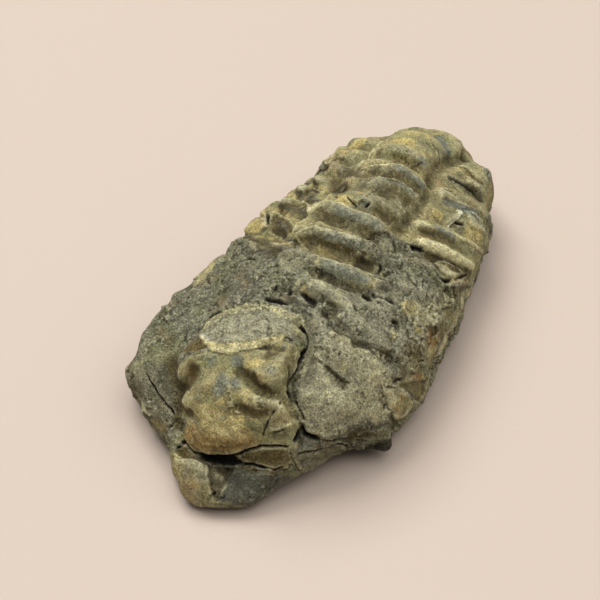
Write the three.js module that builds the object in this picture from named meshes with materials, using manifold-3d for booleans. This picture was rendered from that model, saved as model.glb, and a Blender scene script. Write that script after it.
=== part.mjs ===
// A trilobite fossil about 92 mm long, lying in its piece of siltstone with the back up.
// Millimetres, +Z up. The tail points along +Y and the head along -Y. The flat underside lies on z = 0.
import * as THREE from "three";
import { mergeVertices } from "three/addons/utils/BufferGeometryUtils.js";
import { ImprovedNoise } from "three/addons/math/ImprovedNoise.js";
import Module from "manifold-3d";

const { clamp, lerp, smoothstep } = THREE.MathUtils;

// Half the size of the stone, and the cells of its surface across and along it.
const HALF_WIDTH = 23;
const HALF_LENGTH = 46;
const CELLS_ACROSS = 40;
const CELLS_ALONG = 80;

// Outline at the widest level, seen from above, as four edges that meet in four corners.
const FRONT_LEFT = [-19.6, -33];
const FRONT_RIGHT = [22.3, -22.4];
const BACK_LEFT = [-12.8, 32];
const BACK_RIGHT = [15.5, 36.6];
const FRONT_EDGE = [
  FRONT_LEFT, [-17.2, -34.5], [-14.6, -36.6], [-11.4, -38.5], [-7.8, -40.5], [-5.6, -43.2], [-1.4, -45.8],
  [2, -46.1], [7.8, -43.4], [10.7, -39], [13.4, -34.2], [16, -29.2], [20, -25], FRONT_RIGHT,
];
const BACK_EDGE = [
  BACK_LEFT, [-10.8, 36.4], [-6.6, 41], [-2.4, 44.4], [2.4, 46.1], [6.8, 45.2], [9.6, 42.6], [12.4, 40.9],
  BACK_RIGHT,
];
const LEFT_EDGE = [
  FRONT_LEFT, [-21.6, -29.6], [-22.6, -24.5], [-22.6, -19], [-20.6, -12], [-18.4, -6], [-17.8, -1], [-17.2, 5],
  [-15.6, 11], [-14.2, 17], [-13.6, 24], BACK_LEFT,
];
const RIGHT_EDGE = [
  FRONT_RIGHT, [23.6, -15], [23.8, -8], [23, -1], [22.2, 5], [20.9, 12], [20.1, 19], [19.4, 25], [18.1, 28.8],
  [15.6, 32.4], BACK_RIGHT,
];

// Levels of the side wall from the rest face up: distance in from the outline, and share of the height.
const WALL = [
  { inset: 4.2, rise: 0 },
  { inset: 1.5, rise: 0.17 },
  { inset: 0.2, rise: 0.4 },
  { inset: 0, rise: 0.64 },
  { inset: 0.4, rise: 0.85 },
  { inset: 1.3, rise: 1 },
];
const LEFT_LEAN = 2;
const RIB_PUSH = 0.3;

// Lines along the body, as [y, value]: its middle, the half width of the axial lobe, and heights.
const MIDDLE = [[-30, 1], [-15, 2.5], [-4, 2.6], [8, 2], [22, 1.3], [34, 0.9], [43, 1.6]];
const AXIAL_HALF = [[-16, 9.5], [-4, 9], [8, 7.6], [22, 6.7], [32, 6.5], [39, 7.6], [45, 7]];
const CREST = [
  [-46, 3], [-42.5, 5.6], [-39, 8], [-34, 13.5], [-28, 17.5], [-20, 21.5], [-10, 23.6], [0, 24.7], [10, 24.6],
  [18, 23.8], [25, 22.6], [31, 20.8], [36, 18.6], [40, 16.4], [43, 13.6], [45.5, 9.5],
];
const ARCH = [[-22, 0.8], [-10, 2], [-4, 3.2], [6, 4.4], [20, 4.4], [33, 3.8], [43, 3.4]];
const LEFT_SHOULDER = [
  [-44, 4.5], [-38, 7], [-30, 12.5], [-20, 16], [-8, 18.6], [2, 19], [12, 18.2], [24, 16.8], [32, 14.6], [38, 11],
  [43, 6.5],
];
const RIGHT_SHOULDER = [
  [-44, 4], [-36, 6.5], [-28, 14], [-18, 18], [-6, 19], [6, 18], [16, 16.4], [26, 14.8], [34, 14], [39, 12.4],
  [43, 8],
];
const LEFT_RIM = [
  [-44, 4], [-34, 8.6], [-28, 9.8], [-18, 10.8], [-8, 13], [0, 14.4], [10, 14.4], [22, 13.6], [32, 11.6],
  [38, 8.5], [43, 5.5],
];
const RIGHT_RIM = [
  [-44, 3.5], [-30, 5], [-22, 6.4], [-14, 8.2], [0, 9.6], [10, 10.6], [22, 10.2], [30, 10.2], [38, 9], [43, 6],
];
const SHOULDER_OUT = 13.5;

// Rings of the thorax and tail: where each crest crosses the middle line, and how far it rises.
const RINGS = [
  { y: -14, rise: 1.1 },
  { y: -8.7, rise: 1.8 },
  { y: -3, rise: 2 },
  { y: 2.9, rise: 1.9 },
  { y: 7.3, rise: 1.5 },
  { y: 12.3, rise: 1.9 },
  { y: 17.6, rise: 1.9 },
  { y: 24.4, rise: 1.2 },
  { y: 29.6, rise: 0.5 },
  { y: 34, rise: 0.4 },
];
const RING_FRONT = 2.2;
const RING_BACK = 2.6;

// Backward sweep of the ribs beside the rings: per millimetre out to the shoulder, and beyond it.
const LEFT_SWEEP = { near: 0.5, far: 0.5, shift: 0 };
const RIGHT_SWEEP = { near: 0.55, far: 0.8, shift: 2.8 };

// The head: the bell of the glabella, the crescent of rough matrix behind it and the slab on the right cheek.
const GLABELLA = [
  [-7.8, -29.2], [-9.9, -30.8], [-10.4, -33], [-9, -34.8], [-7.6, -36.8], [-6.4, -39], [-5, -40.6], [-2, -41.2],
  [2.6, -39.9], [7, -38.4], [11.4, -35.6], [12, -33], [9.8, -31.6], [8.4, -28], [8, -24], [6, -21.4], [0, -22.5],
  [-5, -26],
];
const GLABELLA_RISE = [[-41.5, 0.6], [-39.6, 2.2], [-37, 3.9], [-33, 4], [-29, 3], [-25, 1.6], [-22, 0.6]];
const GLABELLA_EDGE = 2.4;
const CRESCENT = [
  [-10.2, -26.6], [-7.7, -25.2], [-4.7, -23], [0, -20.9], [5.2, -20.6], [6.6, -22.4], [3.9, -24.8], [2, -27],
  [-0.4, -29], [-2.6, -30.4], [-6.6, -29.4],
];
const CRESCENT_RISE = 0.9;
const CRESCENT_EDGE = 0.9;
const SLAB = [
  [5.6, -20.2], [8.2, -24], [8.8, -29], [11, -32.8], [14.4, -34], [16.8, -31.6], [19.4, -26.4], [20.6, -20],
  [19, -14], [10, -14],
];
const SLAB_RISE = 1.4;
const SLAB_EDGE = 2;

// Furrows, cracks and ledges, and the ribs of the right flank, which rise instead.
const FURROWS = [
  { line: [[8.2, -31.8], [5.7, -33.2], [2.9, -32.5], [0.2, -32]], width: 1, rise: -1.3 },
  { line: [[7.2, -36], [4.6, -36.9], [2.4, -36.6]], width: 1, rise: -1.1 },
  { line: [[-8.6, -34.3], [-6.8, -34.3], [-5.8, -35.8]], width: 0.9, rise: -1.5 },
  { line: [[-4.2, -38], [-5.8, -38.6]], width: 0.9, rise: -1.1 },
  { line: [[5.3, -20.5], [7.9, -24], [8.3, -29.2], [9.5, -31.6], [12, -33.4]], width: 1, rise: -1.7 },
  { line: [[-4.6, -41.4], [-1, -41.2], [2.6, -40.4]], width: 1, rise: -2.6 },
  { line: [[2.6, -40.4], [7, -39.2], [10.6, -37.2]], width: 1, rise: -1 },
  { line: [[8.5, -23.3], [12.4, -24.5], [15.4, -25], [17.4, -24.2]], width: 1, rise: -0.8 },
  { line: [[7.8, -16.9], [11.8, -18.3], [15.1, -17.8], [18.6, -15.9]], width: 1, rise: -0.8 },
  { line: [[13, -34.4], [16, -30.6], [19.4, -25.6]], width: 1, rise: -1.2 },
  { line: [[19.4, -20], [21.4, -17.4], [22.6, -14.4]], width: 1, rise: 0.8 },
  { line: [[19.8, -16.4], [21.4, -13.6], [22.6, -10.2]], width: 1, rise: 0.8 },
  { line: [[19.8, -11.6], [21.2, -8.6], [22.2, -5]], width: 1, rise: 0.7 },
];
const LUMPS = [
  { x: 5.5, y: -30.2, rx: 2.8, ry: 1.7, rise: 0.9 },
  { x: 5.2, y: -35, rx: 2.6, ry: 1.3, rise: 0.7 },
  { x: -8.2, y: -32, rx: 1.9, ry: 1.6, rise: 1.5 },
  { x: -6, y: -37, rx: 1.4, ry: 1.2, rise: 0.9 },
  { x: -2.4, y: -43.4, rx: 3, ry: 2.4, rise: 1.4 },
  { x: 6, y: -42, rx: 3.4, ry: 1.8, rise: -1.2 },
  { x: 12, y: -4.4, rx: 1.6, ry: 1.1, rise: -1.4 },
  { x: 12.6, y: -10.2, rx: 1.6, ry: 1, rise: -1.3 },
  { x: 18, y: 5.8, rx: 1.6, ry: 1, rise: -1.2 },
];
const LOWEST_TOP = 1.2;

// How far the needless points of the flat rest face may lie from it.
const FLAT_WITHIN = 0.01;

// A line of [y, value] points as a function of y, eased a little between the points.
function along(pairs) {
  return (y) => {
    const next = pairs.findIndex((pair) => pair[0] > y);
    if (next === 0) return pairs[0][1];
    if (next < 0) return pairs.at(-1)[1];
    const [fromY, from] = pairs[next - 1];
    const [toY, to] = pairs[next];
    const share = (y - fromY) / (toY - fromY);
    return lerp(from, to, (share + smoothstep(share, 0, 1)) / 2);
  };
}
const middleAt = along(MIDDLE);
const axialHalfAt = along(AXIAL_HALF);
const crestAt = along(CREST);
const archAt = along(ARCH);
const leftShoulderAt = along(LEFT_SHOULDER);
const rightShoulderAt = along(RIGHT_SHOULDER);
const leftRimAt = along(LEFT_RIM);
const rightRimAt = along(RIGHT_RIM);
const glabellaRiseAt = along(GLABELLA_RISE);

function edgeCurve(points) {
  return new THREE.CatmullRomCurve3(points.map(([x, y]) => new THREE.Vector3(x, y, 0)), false, "centripetal");
}
const front = edgeCurve(FRONT_EDGE);
const back = edgeCurve(BACK_EDGE);
const left = edgeCurve(LEFT_EDGE);
const right = edgeCurve(RIGHT_EDGE);

// The plan point at share u from left to right and v from front to back, blended between the four edges.
function planPoint(u, v) {
  const point = new THREE.Vector3();
  const add = ([x, y], weight) => point.addScaledVector(new THREE.Vector3(x, y, 0), weight);
  add(front.getPointAt(u), 1 - v);
  add(back.getPointAt(u), v);
  add(left.getPointAt(v), 1 - u);
  add(right.getPointAt(v), u);
  add(FRONT_LEFT, -(1 - u) * (1 - v));
  add(FRONT_RIGHT, -u * (1 - v));
  add(BACK_LEFT, -(1 - u) * v);
  add(BACK_RIGHT, -u * v);
  return point;
}

// The arched axial lobe, then the pleural fields, which fall over the shoulders to the rims.
function bodyHeight(x, y, v) {
  const middle = middleAt(y);
  const half = axialHalfAt(y);
  const out = Math.abs(x - middle);
  const furrow = crestAt(y) - archAt(y);
  if (out < half) return furrow + archAt(y) * (1 - (out / half) ** 2) ** 0.75;
  const isLeft = x < middle;
  const shoulder = isLeft ? leftShoulderAt(y) : rightShoulderAt(y);
  if (out < SHOULDER_OUT) return lerp(furrow, shoulder, ((out - half) / (SHOULDER_OUT - half)) ** 1.3);
  const rim = isLeft ? leftRimAt(y) : rightRimAt(y);
  const edgeOut = Math.abs(planPoint(isLeft ? 0 : 1, v).x - middle);
  const share = Math.min(1, (out - SHOULDER_OUT) / Math.max(1.5, edgeOut - SHOULDER_OUT));
  return lerp(shoulder, rim, share ** 1.4);
}

// Distance along the body with the backward sweep of the ribs taken out.
function sweptY(x, y) {
  const out = Math.abs(x - middleAt(y));
  const half = axialHalfAt(y);
  const { near, far, shift } = x > middleAt(y) ? RIGHT_SWEEP : LEFT_SWEEP;
  const nearOut = clamp(out - half, 0, SHOULDER_OUT - half);
  const farOut = Math.max(0, out - SHOULDER_OUT);
  return y - near * nearOut - far * farOut - shift * smoothstep(out, half - 0.8, half + 1.2);
}

// Each ring rises steeply from the groove in front of it, and falls behind its crest to a flat band.
function ringRelief(x, y) {
  const s = sweptY(x, y);
  const next = RINGS.findIndex((ring) => ring.y - RING_FRONT > s);
  const index = next < 0 ? RINGS.length - 1 : Math.max(0, next - 1);
  const ring = RINGS[index];
  const behind = s - ring.y;
  if (behind < 0) return ring.rise * (smoothstep(behind, -RING_FRONT, -0.2) - 0.5);
  const length = index + 1 < RINGS.length ? RINGS[index + 1].y - RING_FRONT - ring.y : RING_FRONT;
  const run = Math.min(1, behind / length);
  return ring.rise * (0.5 - 0.75 * smoothstep(behind, 0.4, RING_BACK) - 0.25 * run * run);
}

// How much of the rings shows: less in the axial furrows, where matrix covers them, and none on the head.
function ringShare(x, y) {
  const side = x - middleAt(y);
  const half = axialHalfAt(y);
  const inFurrow = Math.exp(-(((Math.abs(side) - half) / 1.2) ** 2));
  const coverRight = smoothstep(side, half - 1, half + 2) * (1 - smoothstep(y - 0.4 * side, -3, 1));
  const coverLeft = smoothstep(-side, half - 6, half - 2) * (1 - smoothstep(y, -9, -4));
  const length = smoothstep(y, -19, -13) * (1 - smoothstep(y, 38, 42));
  return length * (1 - 0.7 * inFurrow) * (1 - 0.75 * coverRight) * (1 - 0.7 * coverLeft);
}

function distanceTo(line, x, y) {
  let best = Infinity;
  for (let i = 0; i + 1 < line.length; i++) {
    const [ax, ay] = line[i];
    const [dx, dy] = [line[i + 1][0] - ax, line[i + 1][1] - ay];
    const share = clamp(((x - ax) * dx + (y - ay) * dy) / (dx * dx + dy * dy), 0, 1);
    best = Math.min(best, Math.hypot(x - ax - share * dx, y - ay - share * dy));
  }
  return best;
}

function isInside(outline, x, y) {
  let inside = false;
  outline.forEach(([ax, ay], i) => {
    const [bx, by] = outline.at(i - 1);
    if (ay > y !== by > y && x < ((bx - ax) * (y - ay)) / (by - ay) + ax) inside = !inside;
  });
  return inside;
}

// Share from 0 outside an outline to 1 at the depth "edge" inside it.
function patchShare(outline, edge, x, y) {
  if (!isInside(outline, x, y)) return 0;
  return smoothstep(distanceTo([...outline, outline[0]], x, y), 0, edge);
}

function headHeight(x, y) {
  const glabella = glabellaRiseAt(y) * patchShare(GLABELLA, GLABELLA_EDGE, x, y);
  const crescent = CRESCENT_RISE * patchShare(CRESCENT, CRESCENT_EDGE, x, y);
  const slab = SLAB_RISE * patchShare(SLAB, SLAB_EDGE, x, y);
  return glabella + crescent + slab;
}

function furrowHeight({ line, width, rise }, x, y) {
  return rise * Math.exp(-((distanceTo(line, x, y) / width) ** 2));
}

function lumpHeight(lump, x, y) {
  const away = Math.hypot((x - lump.x) / lump.rx, (y - lump.y) / lump.ry);
  return lump.rise * Math.exp(-(away ** 2));
}

function detailHeight(x, y) {
  const furrows = FURROWS.reduce((sum, furrow) => sum + furrowHeight(furrow, x, y), 0);
  return LUMPS.reduce((sum, lump) => sum + lumpHeight(lump, x, y), furrows);
}

const noise = new ImprovedNoise();
function topHeight(x, y, v) {
  const rings = ringRelief(x, y) * ringShare(x, y);
  const rough = 0.5 * noise.noise(x / 5, y / 5, 3.1) + 0.2 * noise.noise(x / 2.6, y / 2.6, 7.7);
  return Math.max(LOWEST_TOP, bodyHeight(x, y, v) + rings + headHeight(x, y) + detailHeight(x, y) + rough);
}

// Swells and hollows of the flanks, as a share of the distance from the middle of the stone.
function swell(x, y, z) {
  return 1 + 0.024 * noise.noise(x / 9, y / 9, z / 7 + 11.3) + 0.012 * noise.noise(x / 4, y / 4, z / 4 + 5.9);
}

// Moves one point of a box of unit size onto the stone.
function stonePoint(point) {
  const isTop = point.z > 0.49;
  const { inset, rise } = WALL[Math.round((point.z + 0.5) * (WALL.length - 1))];
  const u = 0.5 + point.x * (1 - inset / HALF_WIDTH);
  const v = 0.5 + point.y * (1 - inset / HALF_LENGTH);
  const { x, y } = planPoint(u, v);
  const z = rise * topHeight(x, y, v);
  const wide = isTop ? 1 : swell(x, y, z);
  const ribs = isTop ? 0 : RIB_PUSH * ringRelief(x, y) * ringShare(x, y) * Math.sign(x);
  const lean = LEFT_LEAN * (1 - rise) * (1 - smoothstep(u, 0, 0.3)) * smoothstep(y, -34, -24);
  return point.set(x * wide + ribs - lean, y * (1 + (wide - 1) / 2), z);
}

// Splits every four-sided cell along its shorter diagonal, so that creases run clean.
function turnDiagonals(box) {
  const place = box.getAttribute("position");
  const index = box.getIndex();
  const corner = (i) => new THREE.Vector3().fromBufferAttribute(place, i);
  for (let i = 0; i < index.count; i += 6) {
    const [a, b, c, d] = [index.getX(i), index.getX(i + 1), index.getX(i + 4), index.getX(i + 2)];
    const turned = corner(a).distanceTo(corner(c)) < corner(b).distanceTo(corner(d));
    if (turned) index.array.set([a, b, c, a, c, d], i);
  }
}

function stoneGeometry() {
  const box = new THREE.BoxGeometry(1, 1, 1, CELLS_ACROSS, CELLS_ALONG, WALL.length - 1);
  const place = box.getAttribute("position");
  const point = new THREE.Vector3();
  for (let i = 0; i < place.count; i++) {
    place.setXYZ(i, ...stonePoint(point.fromBufferAttribute(place, i)));
  }
  turnDiagonals(box);
  box.deleteAttribute("normal");
  box.deleteAttribute("uv");
  return mergeVertices(box);
}

// One closed solid with the flat rest face cleared of needless points, centred over the origin.
const wasm = await Module();
wasm.setup();
function solidGeometry(geometry) {
  const source = new wasm.Mesh({
    numProp: 3,
    vertProperties: geometry.attributes.position.array,
    triVerts: new Uint32Array(geometry.index.array),
  });
  const made = new wasm.Manifold(source).simplify(FLAT_WITHIN).getMesh();
  const result = new THREE.BufferGeometry();
  result.setAttribute("position", new THREE.BufferAttribute(made.vertProperties, 3));
  result.setIndex(new THREE.BufferAttribute(made.triVerts, 1));
  result.computeBoundingBox();
  const middle = result.boundingBox.getCenter(new THREE.Vector3());
  return result.translate(-middle.x, -middle.y, -result.boundingBox.min.z);
}

const siltstone = new THREE.MeshStandardMaterial({ color: 0x77735a, roughness: 0.9, metalness: 0 });
const stone = new THREE.Mesh(solidGeometry(stoneGeometry()), siltstone);
stone.name = "trilobite_fossil";

const fossil = new THREE.Group();
fossil.name = "trilobite";
fossil.add(stone);
export default fossil;
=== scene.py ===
import math

import bpy
import numpy as np
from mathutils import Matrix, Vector, noise
from mathutils.bvhtree import BVHTree


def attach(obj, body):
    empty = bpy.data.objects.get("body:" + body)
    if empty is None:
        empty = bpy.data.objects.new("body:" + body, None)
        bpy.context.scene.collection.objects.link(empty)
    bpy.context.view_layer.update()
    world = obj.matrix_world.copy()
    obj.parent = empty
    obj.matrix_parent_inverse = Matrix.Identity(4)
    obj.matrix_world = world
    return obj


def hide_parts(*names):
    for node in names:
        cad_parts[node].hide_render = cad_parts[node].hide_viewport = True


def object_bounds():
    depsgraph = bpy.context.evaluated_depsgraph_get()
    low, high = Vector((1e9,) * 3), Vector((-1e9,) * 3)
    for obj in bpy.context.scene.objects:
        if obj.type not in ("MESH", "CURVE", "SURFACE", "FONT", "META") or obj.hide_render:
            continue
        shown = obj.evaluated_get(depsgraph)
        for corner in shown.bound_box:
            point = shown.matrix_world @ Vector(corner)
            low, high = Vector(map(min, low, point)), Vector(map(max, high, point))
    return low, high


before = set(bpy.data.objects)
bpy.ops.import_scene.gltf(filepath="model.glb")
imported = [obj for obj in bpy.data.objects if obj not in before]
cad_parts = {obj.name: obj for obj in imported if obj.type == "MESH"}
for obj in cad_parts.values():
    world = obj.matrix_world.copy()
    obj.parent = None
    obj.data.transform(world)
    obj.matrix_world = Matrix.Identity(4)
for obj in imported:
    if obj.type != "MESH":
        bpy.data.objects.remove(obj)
cad_low, cad_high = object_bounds()


# The camera looks down on the fossil from its front right, at the angle of the photograph.
# Marks on the stone are placed through it, by their pixels in the photograph's frame of 600 by 600.
MM = 0.001
PHOTO_SIZE = 600
PHOTO_FOCAL = 1500
SENSOR = 36
VIEW_TURN = 28
VIEW_AZIMUTH = math.radians(VIEW_TURN)
VIEW_ELEVATION = math.radians(44)
VIEW_DISTANCE = 270 * MM
VIEW_TARGET = Vector((-7.5, 3.5, 0)) * MM

view_back = Vector((
    math.sin(VIEW_AZIMUTH) * math.cos(VIEW_ELEVATION),
    -math.cos(VIEW_AZIMUTH) * math.cos(VIEW_ELEVATION),
    math.sin(VIEW_ELEVATION),
))
view_right = Vector((math.cos(VIEW_AZIMUTH), math.sin(VIEW_AZIMUTH), 0))
view_up = view_back.cross(view_right)
view_point = VIEW_TARGET + view_back * VIEW_DISTANCE

camera_data = bpy.data.cameras.new("photo_camera")
camera_data.sensor_width = SENSOR
camera_data.lens = PHOTO_FOCAL / PHOTO_SIZE * SENSOR
camera_data.clip_start = 0.01
camera_data.clip_end = 10
camera = bpy.data.objects.new("photo_camera", camera_data)
camera.location = view_point
camera.rotation_euler = view_back.to_track_quat("Z", "Y").to_euler()
bpy.context.scene.collection.objects.link(camera)
bpy.context.scene.camera = camera


# The stone is one piece: a trilobite about 92 mm long and the rough siltstone that it lies in.
# Its faceted solid is merged, remeshed finely and smoothed, ready to be carved and roughened.
STONE_GRAIN = 0.27 * MM
SMOOTHING_ROUNDS = 14
MOST_TRIANGLES = 190000
NOISE_SEED = 5
MARK_WANDER = 0.12
EDGE_WANDER = 0.35
SEEN_ROUNDS = 40
NEAR_STONE = (0.87, 0.9, 0.93, 0.96, 0.99, 1.02, 1.05, 1.08)  # shares of VIEW_DISTANCE
noise.seed_set(NOISE_SEED)

cad_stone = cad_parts["trilobite_fossil"]
stone = bpy.data.objects.new("fossil_stone", cad_stone.data.copy())
bpy.context.scene.collection.objects.link(stone)
bpy.ops.object.select_all(action="DESELECT")
stone.select_set(True)
bpy.context.view_layer.objects.active = stone
bpy.ops.object.mode_set(mode="EDIT")
bpy.ops.mesh.select_all(action="SELECT")
bpy.ops.mesh.remove_doubles(threshold=0.001 * MM)
bpy.ops.object.mode_set(mode="OBJECT")

remesh = stone.modifiers.new("grain", "REMESH")
remesh.mode = "VOXEL"
remesh.voxel_size = STONE_GRAIN
bpy.ops.object.modifier_apply(modifier=remesh.name)
soften = stone.modifiers.new("soften", "SMOOTH")
soften.factor = 0.5
soften.iterations = SMOOTHING_ROUNDS
bpy.ops.object.modifier_apply(modifier=soften.name)

skin = stone.data
point_count = len(skin.vertices)
spots = np.empty(point_count * 3)
skin.vertices.foreach_get("co", spots)
spots = spots.reshape(-1, 3) / MM
normals = np.empty(point_count * 3)
skin.vertex_normals.foreach_get("vector", normals)
outward = normals.reshape(-1, 3)
skin_tree = BVHTree.FromObject(stone, bpy.context.evaluated_depsgraph_get())

edge_ends = np.empty(len(skin.edges) * 2, np.int32)
skin.edges.foreach_get("vertices", edge_ends)
edge_ends = edge_ends.reshape(-1, 2)
neighbours = np.bincount(edge_ends.ravel(), minlength=point_count)


def averaged(places, rounds):
    """Places, or other values in columns, moved towards the mean of their neighbours, again and again."""
    for _ in range(rounds):
        total = np.stack([
            np.bincount(edge_ends[:, 0], places[edge_ends[:, 1], k], point_count)
            + np.bincount(edge_ends[:, 1], places[edge_ends[:, 0], k], point_count)
            for k in range(places.shape[1])
        ], 1)
        places = 0.5 * places + 0.5 * total / neighbours[:, None]
    return places


def flecks(size, octaves=2, shift=0.0):
    """Smooth random values about 0, one for each point of the stone, in blotches about size mm wide."""
    moved = spots / size + shift
    return np.array([noise.fractal(Vector(p), 0.8, 2.0, octaves) for p in moved])


def facets(size, slope, shift):
    """Heights of broken planes, each about size mm wide and tilted its own way."""
    heights = np.empty(point_count)
    for i, p in enumerate((spots + EDGE_WANDER * size * wobble) / size + shift):
        centre = noise.voronoi(Vector(p))[1][0]
        heights[i] = (Vector(p) - centre).dot(noise.noise_vector(centre * 5.7))
    return heights * size * slope


def on_stone(x, y):
    """The point of the stone, in mm, that lies at a pixel of the photograph, or the nearest to it."""
    aim = view_right * ((x - PHOTO_SIZE / 2) / PHOTO_FOCAL) - view_up * ((y - PHOTO_SIZE / 2) / PHOTO_FOCAL)
    aim = (aim - view_back).normalized()
    hit = skin_tree.ray_cast(view_point, aim)[0]
    if hit is None:
        along = [skin_tree.find_nearest(view_point + aim * VIEW_DISTANCE * share) for share in NEAR_STONE]
        hit = min(along, key=lambda found: found[3])[0]
    return np.array(hit) / MM


def in_photo(places):
    """Pixels of the photograph at which places in mm lie."""
    away = places - np.array(view_point) / MM
    depth = -(away @ np.array(view_back))
    across = PHOTO_SIZE / 2 + PHOTO_FOCAL * (away @ np.array(view_right)) / depth
    down = PHOTO_SIZE / 2 - PHOTO_FOCAL * (away @ np.array(view_up)) / depth
    return np.stack([across, down], 1)


def ease(value, start, end):
    """0 up to start, 1 from end on, and a smooth rise between."""
    share = np.clip((value - start) / (end - start), 0, 1)
    return share * share * (3 - 2 * share)


def is_seen():
    """1 at the points of the stone that the camera sees, falling softly to 0 round the edge from it."""
    seen = np.zeros((point_count, 1))
    for i in np.flatnonzero(outward @ np.array(view_back) > 0):
        start = Vector((spots[i] + 0.3 * outward[i]) * MM)
        seen[i] = skin_tree.ray_cast(start, view_point - start)[0] is None
    return ease(averaged(seen, SEEN_ROUNDS)[:, 0], 0.03, 0.45)


wobble = np.stack([flecks(1.9, 3, shift) for shift in (3.1, 17.3, 31.7)], 1)
traced = spots + MARK_WANDER * wobble
pixels = in_photo(traced)
seen = is_seen()
relief = np.zeros(point_count)
# The marks carry colour, and some also carry painted light: brown is also painted shade in furrows, pale is
# also painted highlight, and the black of cracks and gaps is painted shade.
tints = {name: np.zeros(point_count) for name in
         ("ochre", "brown", "blue", "pale", "gap", "orange", "white", "tan", "shade")}
grit = np.ones(point_count)


def paint(where, amount, colours):
    """Adds colours to the points in where, each by its own strength times amount."""
    for name, strength in colours.items():
        tints[name][where] = np.maximum(tints[name][where], strength * amount)


def measure(line, reach, taper=1.5):
    """Points near a line of pixels: their numbers, distance in mm, fade towards its ends, and side."""
    nodes = np.array([on_stone(x, y) for x, y in line])
    low, high = nodes.min(0) - reach, nodes.max(0) + reach
    where = np.flatnonzero(((traced > low) & (traced < high)).all(1))
    near, flat = traced[where], pixels[where]
    best = np.full(len(where), np.inf)
    run = np.zeros(len(where))
    side = np.ones(len(where))
    passed = 0.0
    for i in range(len(nodes) - 1):
        step = nodes[i + 1] - nodes[i]
        length = max(np.linalg.norm(step), 1e-6)
        share = np.clip((near - nodes[i]) @ step / length ** 2, 0, 1)
        away = np.linalg.norm(near - nodes[i] - share[:, None] * step, axis=1)
        (ax, ay), (bx, by) = line[i], line[i + 1]
        left = (bx - ax) * (flat[:, 1] - ay) - (by - ay) * (flat[:, 0] - ax) < 0
        closer = away < best
        best = np.where(closer, away, best)
        run = np.where(closer, passed + share * length, run)
        side = np.where(closer, np.where(left, 1.0, -1.0), side)
        passed += length
    fade = ease(np.minimum(run, passed - run), -0.05, min(reach, taper, passed * 0.4))
    return where, best, fade, side


def ridge(line, width, rise, **colours):
    """Raises a rounded ridge along a line of pixels, width mm from its middle to its foot."""
    where, away, fade, _ = measure(line, width * 1.6)
    bulge = np.exp(-((away / width) ** 2) * 2.2) * fade
    relief[where] += rise * bulge
    paint(where, np.minimum(1, bulge * 1.5), colours)


def groove(line, width, depth, **colours):
    """Cuts a rounded groove along a line of pixels."""
    ridge(line, width, -depth, **colours)


def crack(line, width, depth, gap=1.0):
    """Cuts a narrow crack along a line of pixels and paints it dark as the shade inside it."""
    where, away, fade, _ = measure(line, width * 2 + 0.4)
    cut = (1 - ease(away, width * 0.2, width + 0.12)) * fade
    relief[where] -= depth * cut
    paint(where, (1 - ease(away, width * 0.3, width + 0.1)) * fade, {"gap": gap})


def ledge(line, rise, edge, reach, **colours):
    """Raises the stone to the left of a line of pixels in a step that dies away within reach mm."""
    where, away, fade, side = measure(line, reach)
    signed = away * side
    step = ease(signed, -edge, edge) * (1 - ease(signed, reach * 0.3, reach)) * fade
    relief[where] += rise * step
    paint(where, np.exp(-(((signed - edge) / (edge + 0.35)) ** 2)) * fade, colours)


def stain(line, width, **colours):
    """Colours a band along a line of pixels."""
    where, away, fade, _ = measure(line, width * 1.5)
    paint(where, (1 - ease(away, width * 0.4, width * 1.4)) * fade, colours)


def lump(x, y, radius, rise, **colours):
    """Raises a round lump at a pixel, or sinks a pit if rise is below 0."""
    away = np.linalg.norm(traced - on_stone(x, y), axis=1)
    where = np.flatnonzero(away < radius * 1.8)
    bulge = np.exp(-((away[where] / radius) ** 2) * 1.6)
    relief[where] += rise * bulge
    paint(where, bulge, colours)


def lumps(*places):
    """Raises lumps or sinks pits, each given as its pixel, radius and rise."""
    for place in places:
        lump(*place)


def cracks(*places):
    """Cuts cracks, each given as its line of pixels, width, depth and darkness."""
    for place in places:
        crack(*place)


def within(outline, edge):
    """Share from 0 outside an outline of pixels to 1 within it, over edge mm, on the side that is seen."""
    x, y = pixels.T
    inside = np.zeros(point_count, bool)
    away = np.full(point_count, np.inf)
    for (ax, ay), (bx, by) in zip(outline, outline[1:] + outline[:1]):
        if ay != by:
            inside ^= ((ay > y) != (by > y)) & (x < (bx - ax) * (y - ay) / (by - ay) + ax)
        step = np.array([bx - ax, by - ay], float)
        share = np.clip(((x - ax) * step[0] + (y - ay) * step[1]) / (step @ step), 0, 1)
        away = np.minimum(away, np.hypot(x - ax - share * step[0], y - ay - share * step[1]))
    pixel_per_mm = PHOTO_FOCAL * MM / VIEW_DISTANCE
    signed = np.where(inside, away, -away) / pixel_per_mm
    return ease(signed, -edge / 2, edge / 2) * seen


def plate(outline, edge, rise, rough=None, level=0.0, **colours):
    """Raises the area within an outline of pixels, levels what was carved there, and sets its grit."""
    share = within(outline, edge)
    relief[:] *= 1 - level * share
    relief[:] += rise * share
    if rough is not None:
        grit[:] = grit * (1 - share) + rough * share
    paint(slice(None), share, colours)


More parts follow.
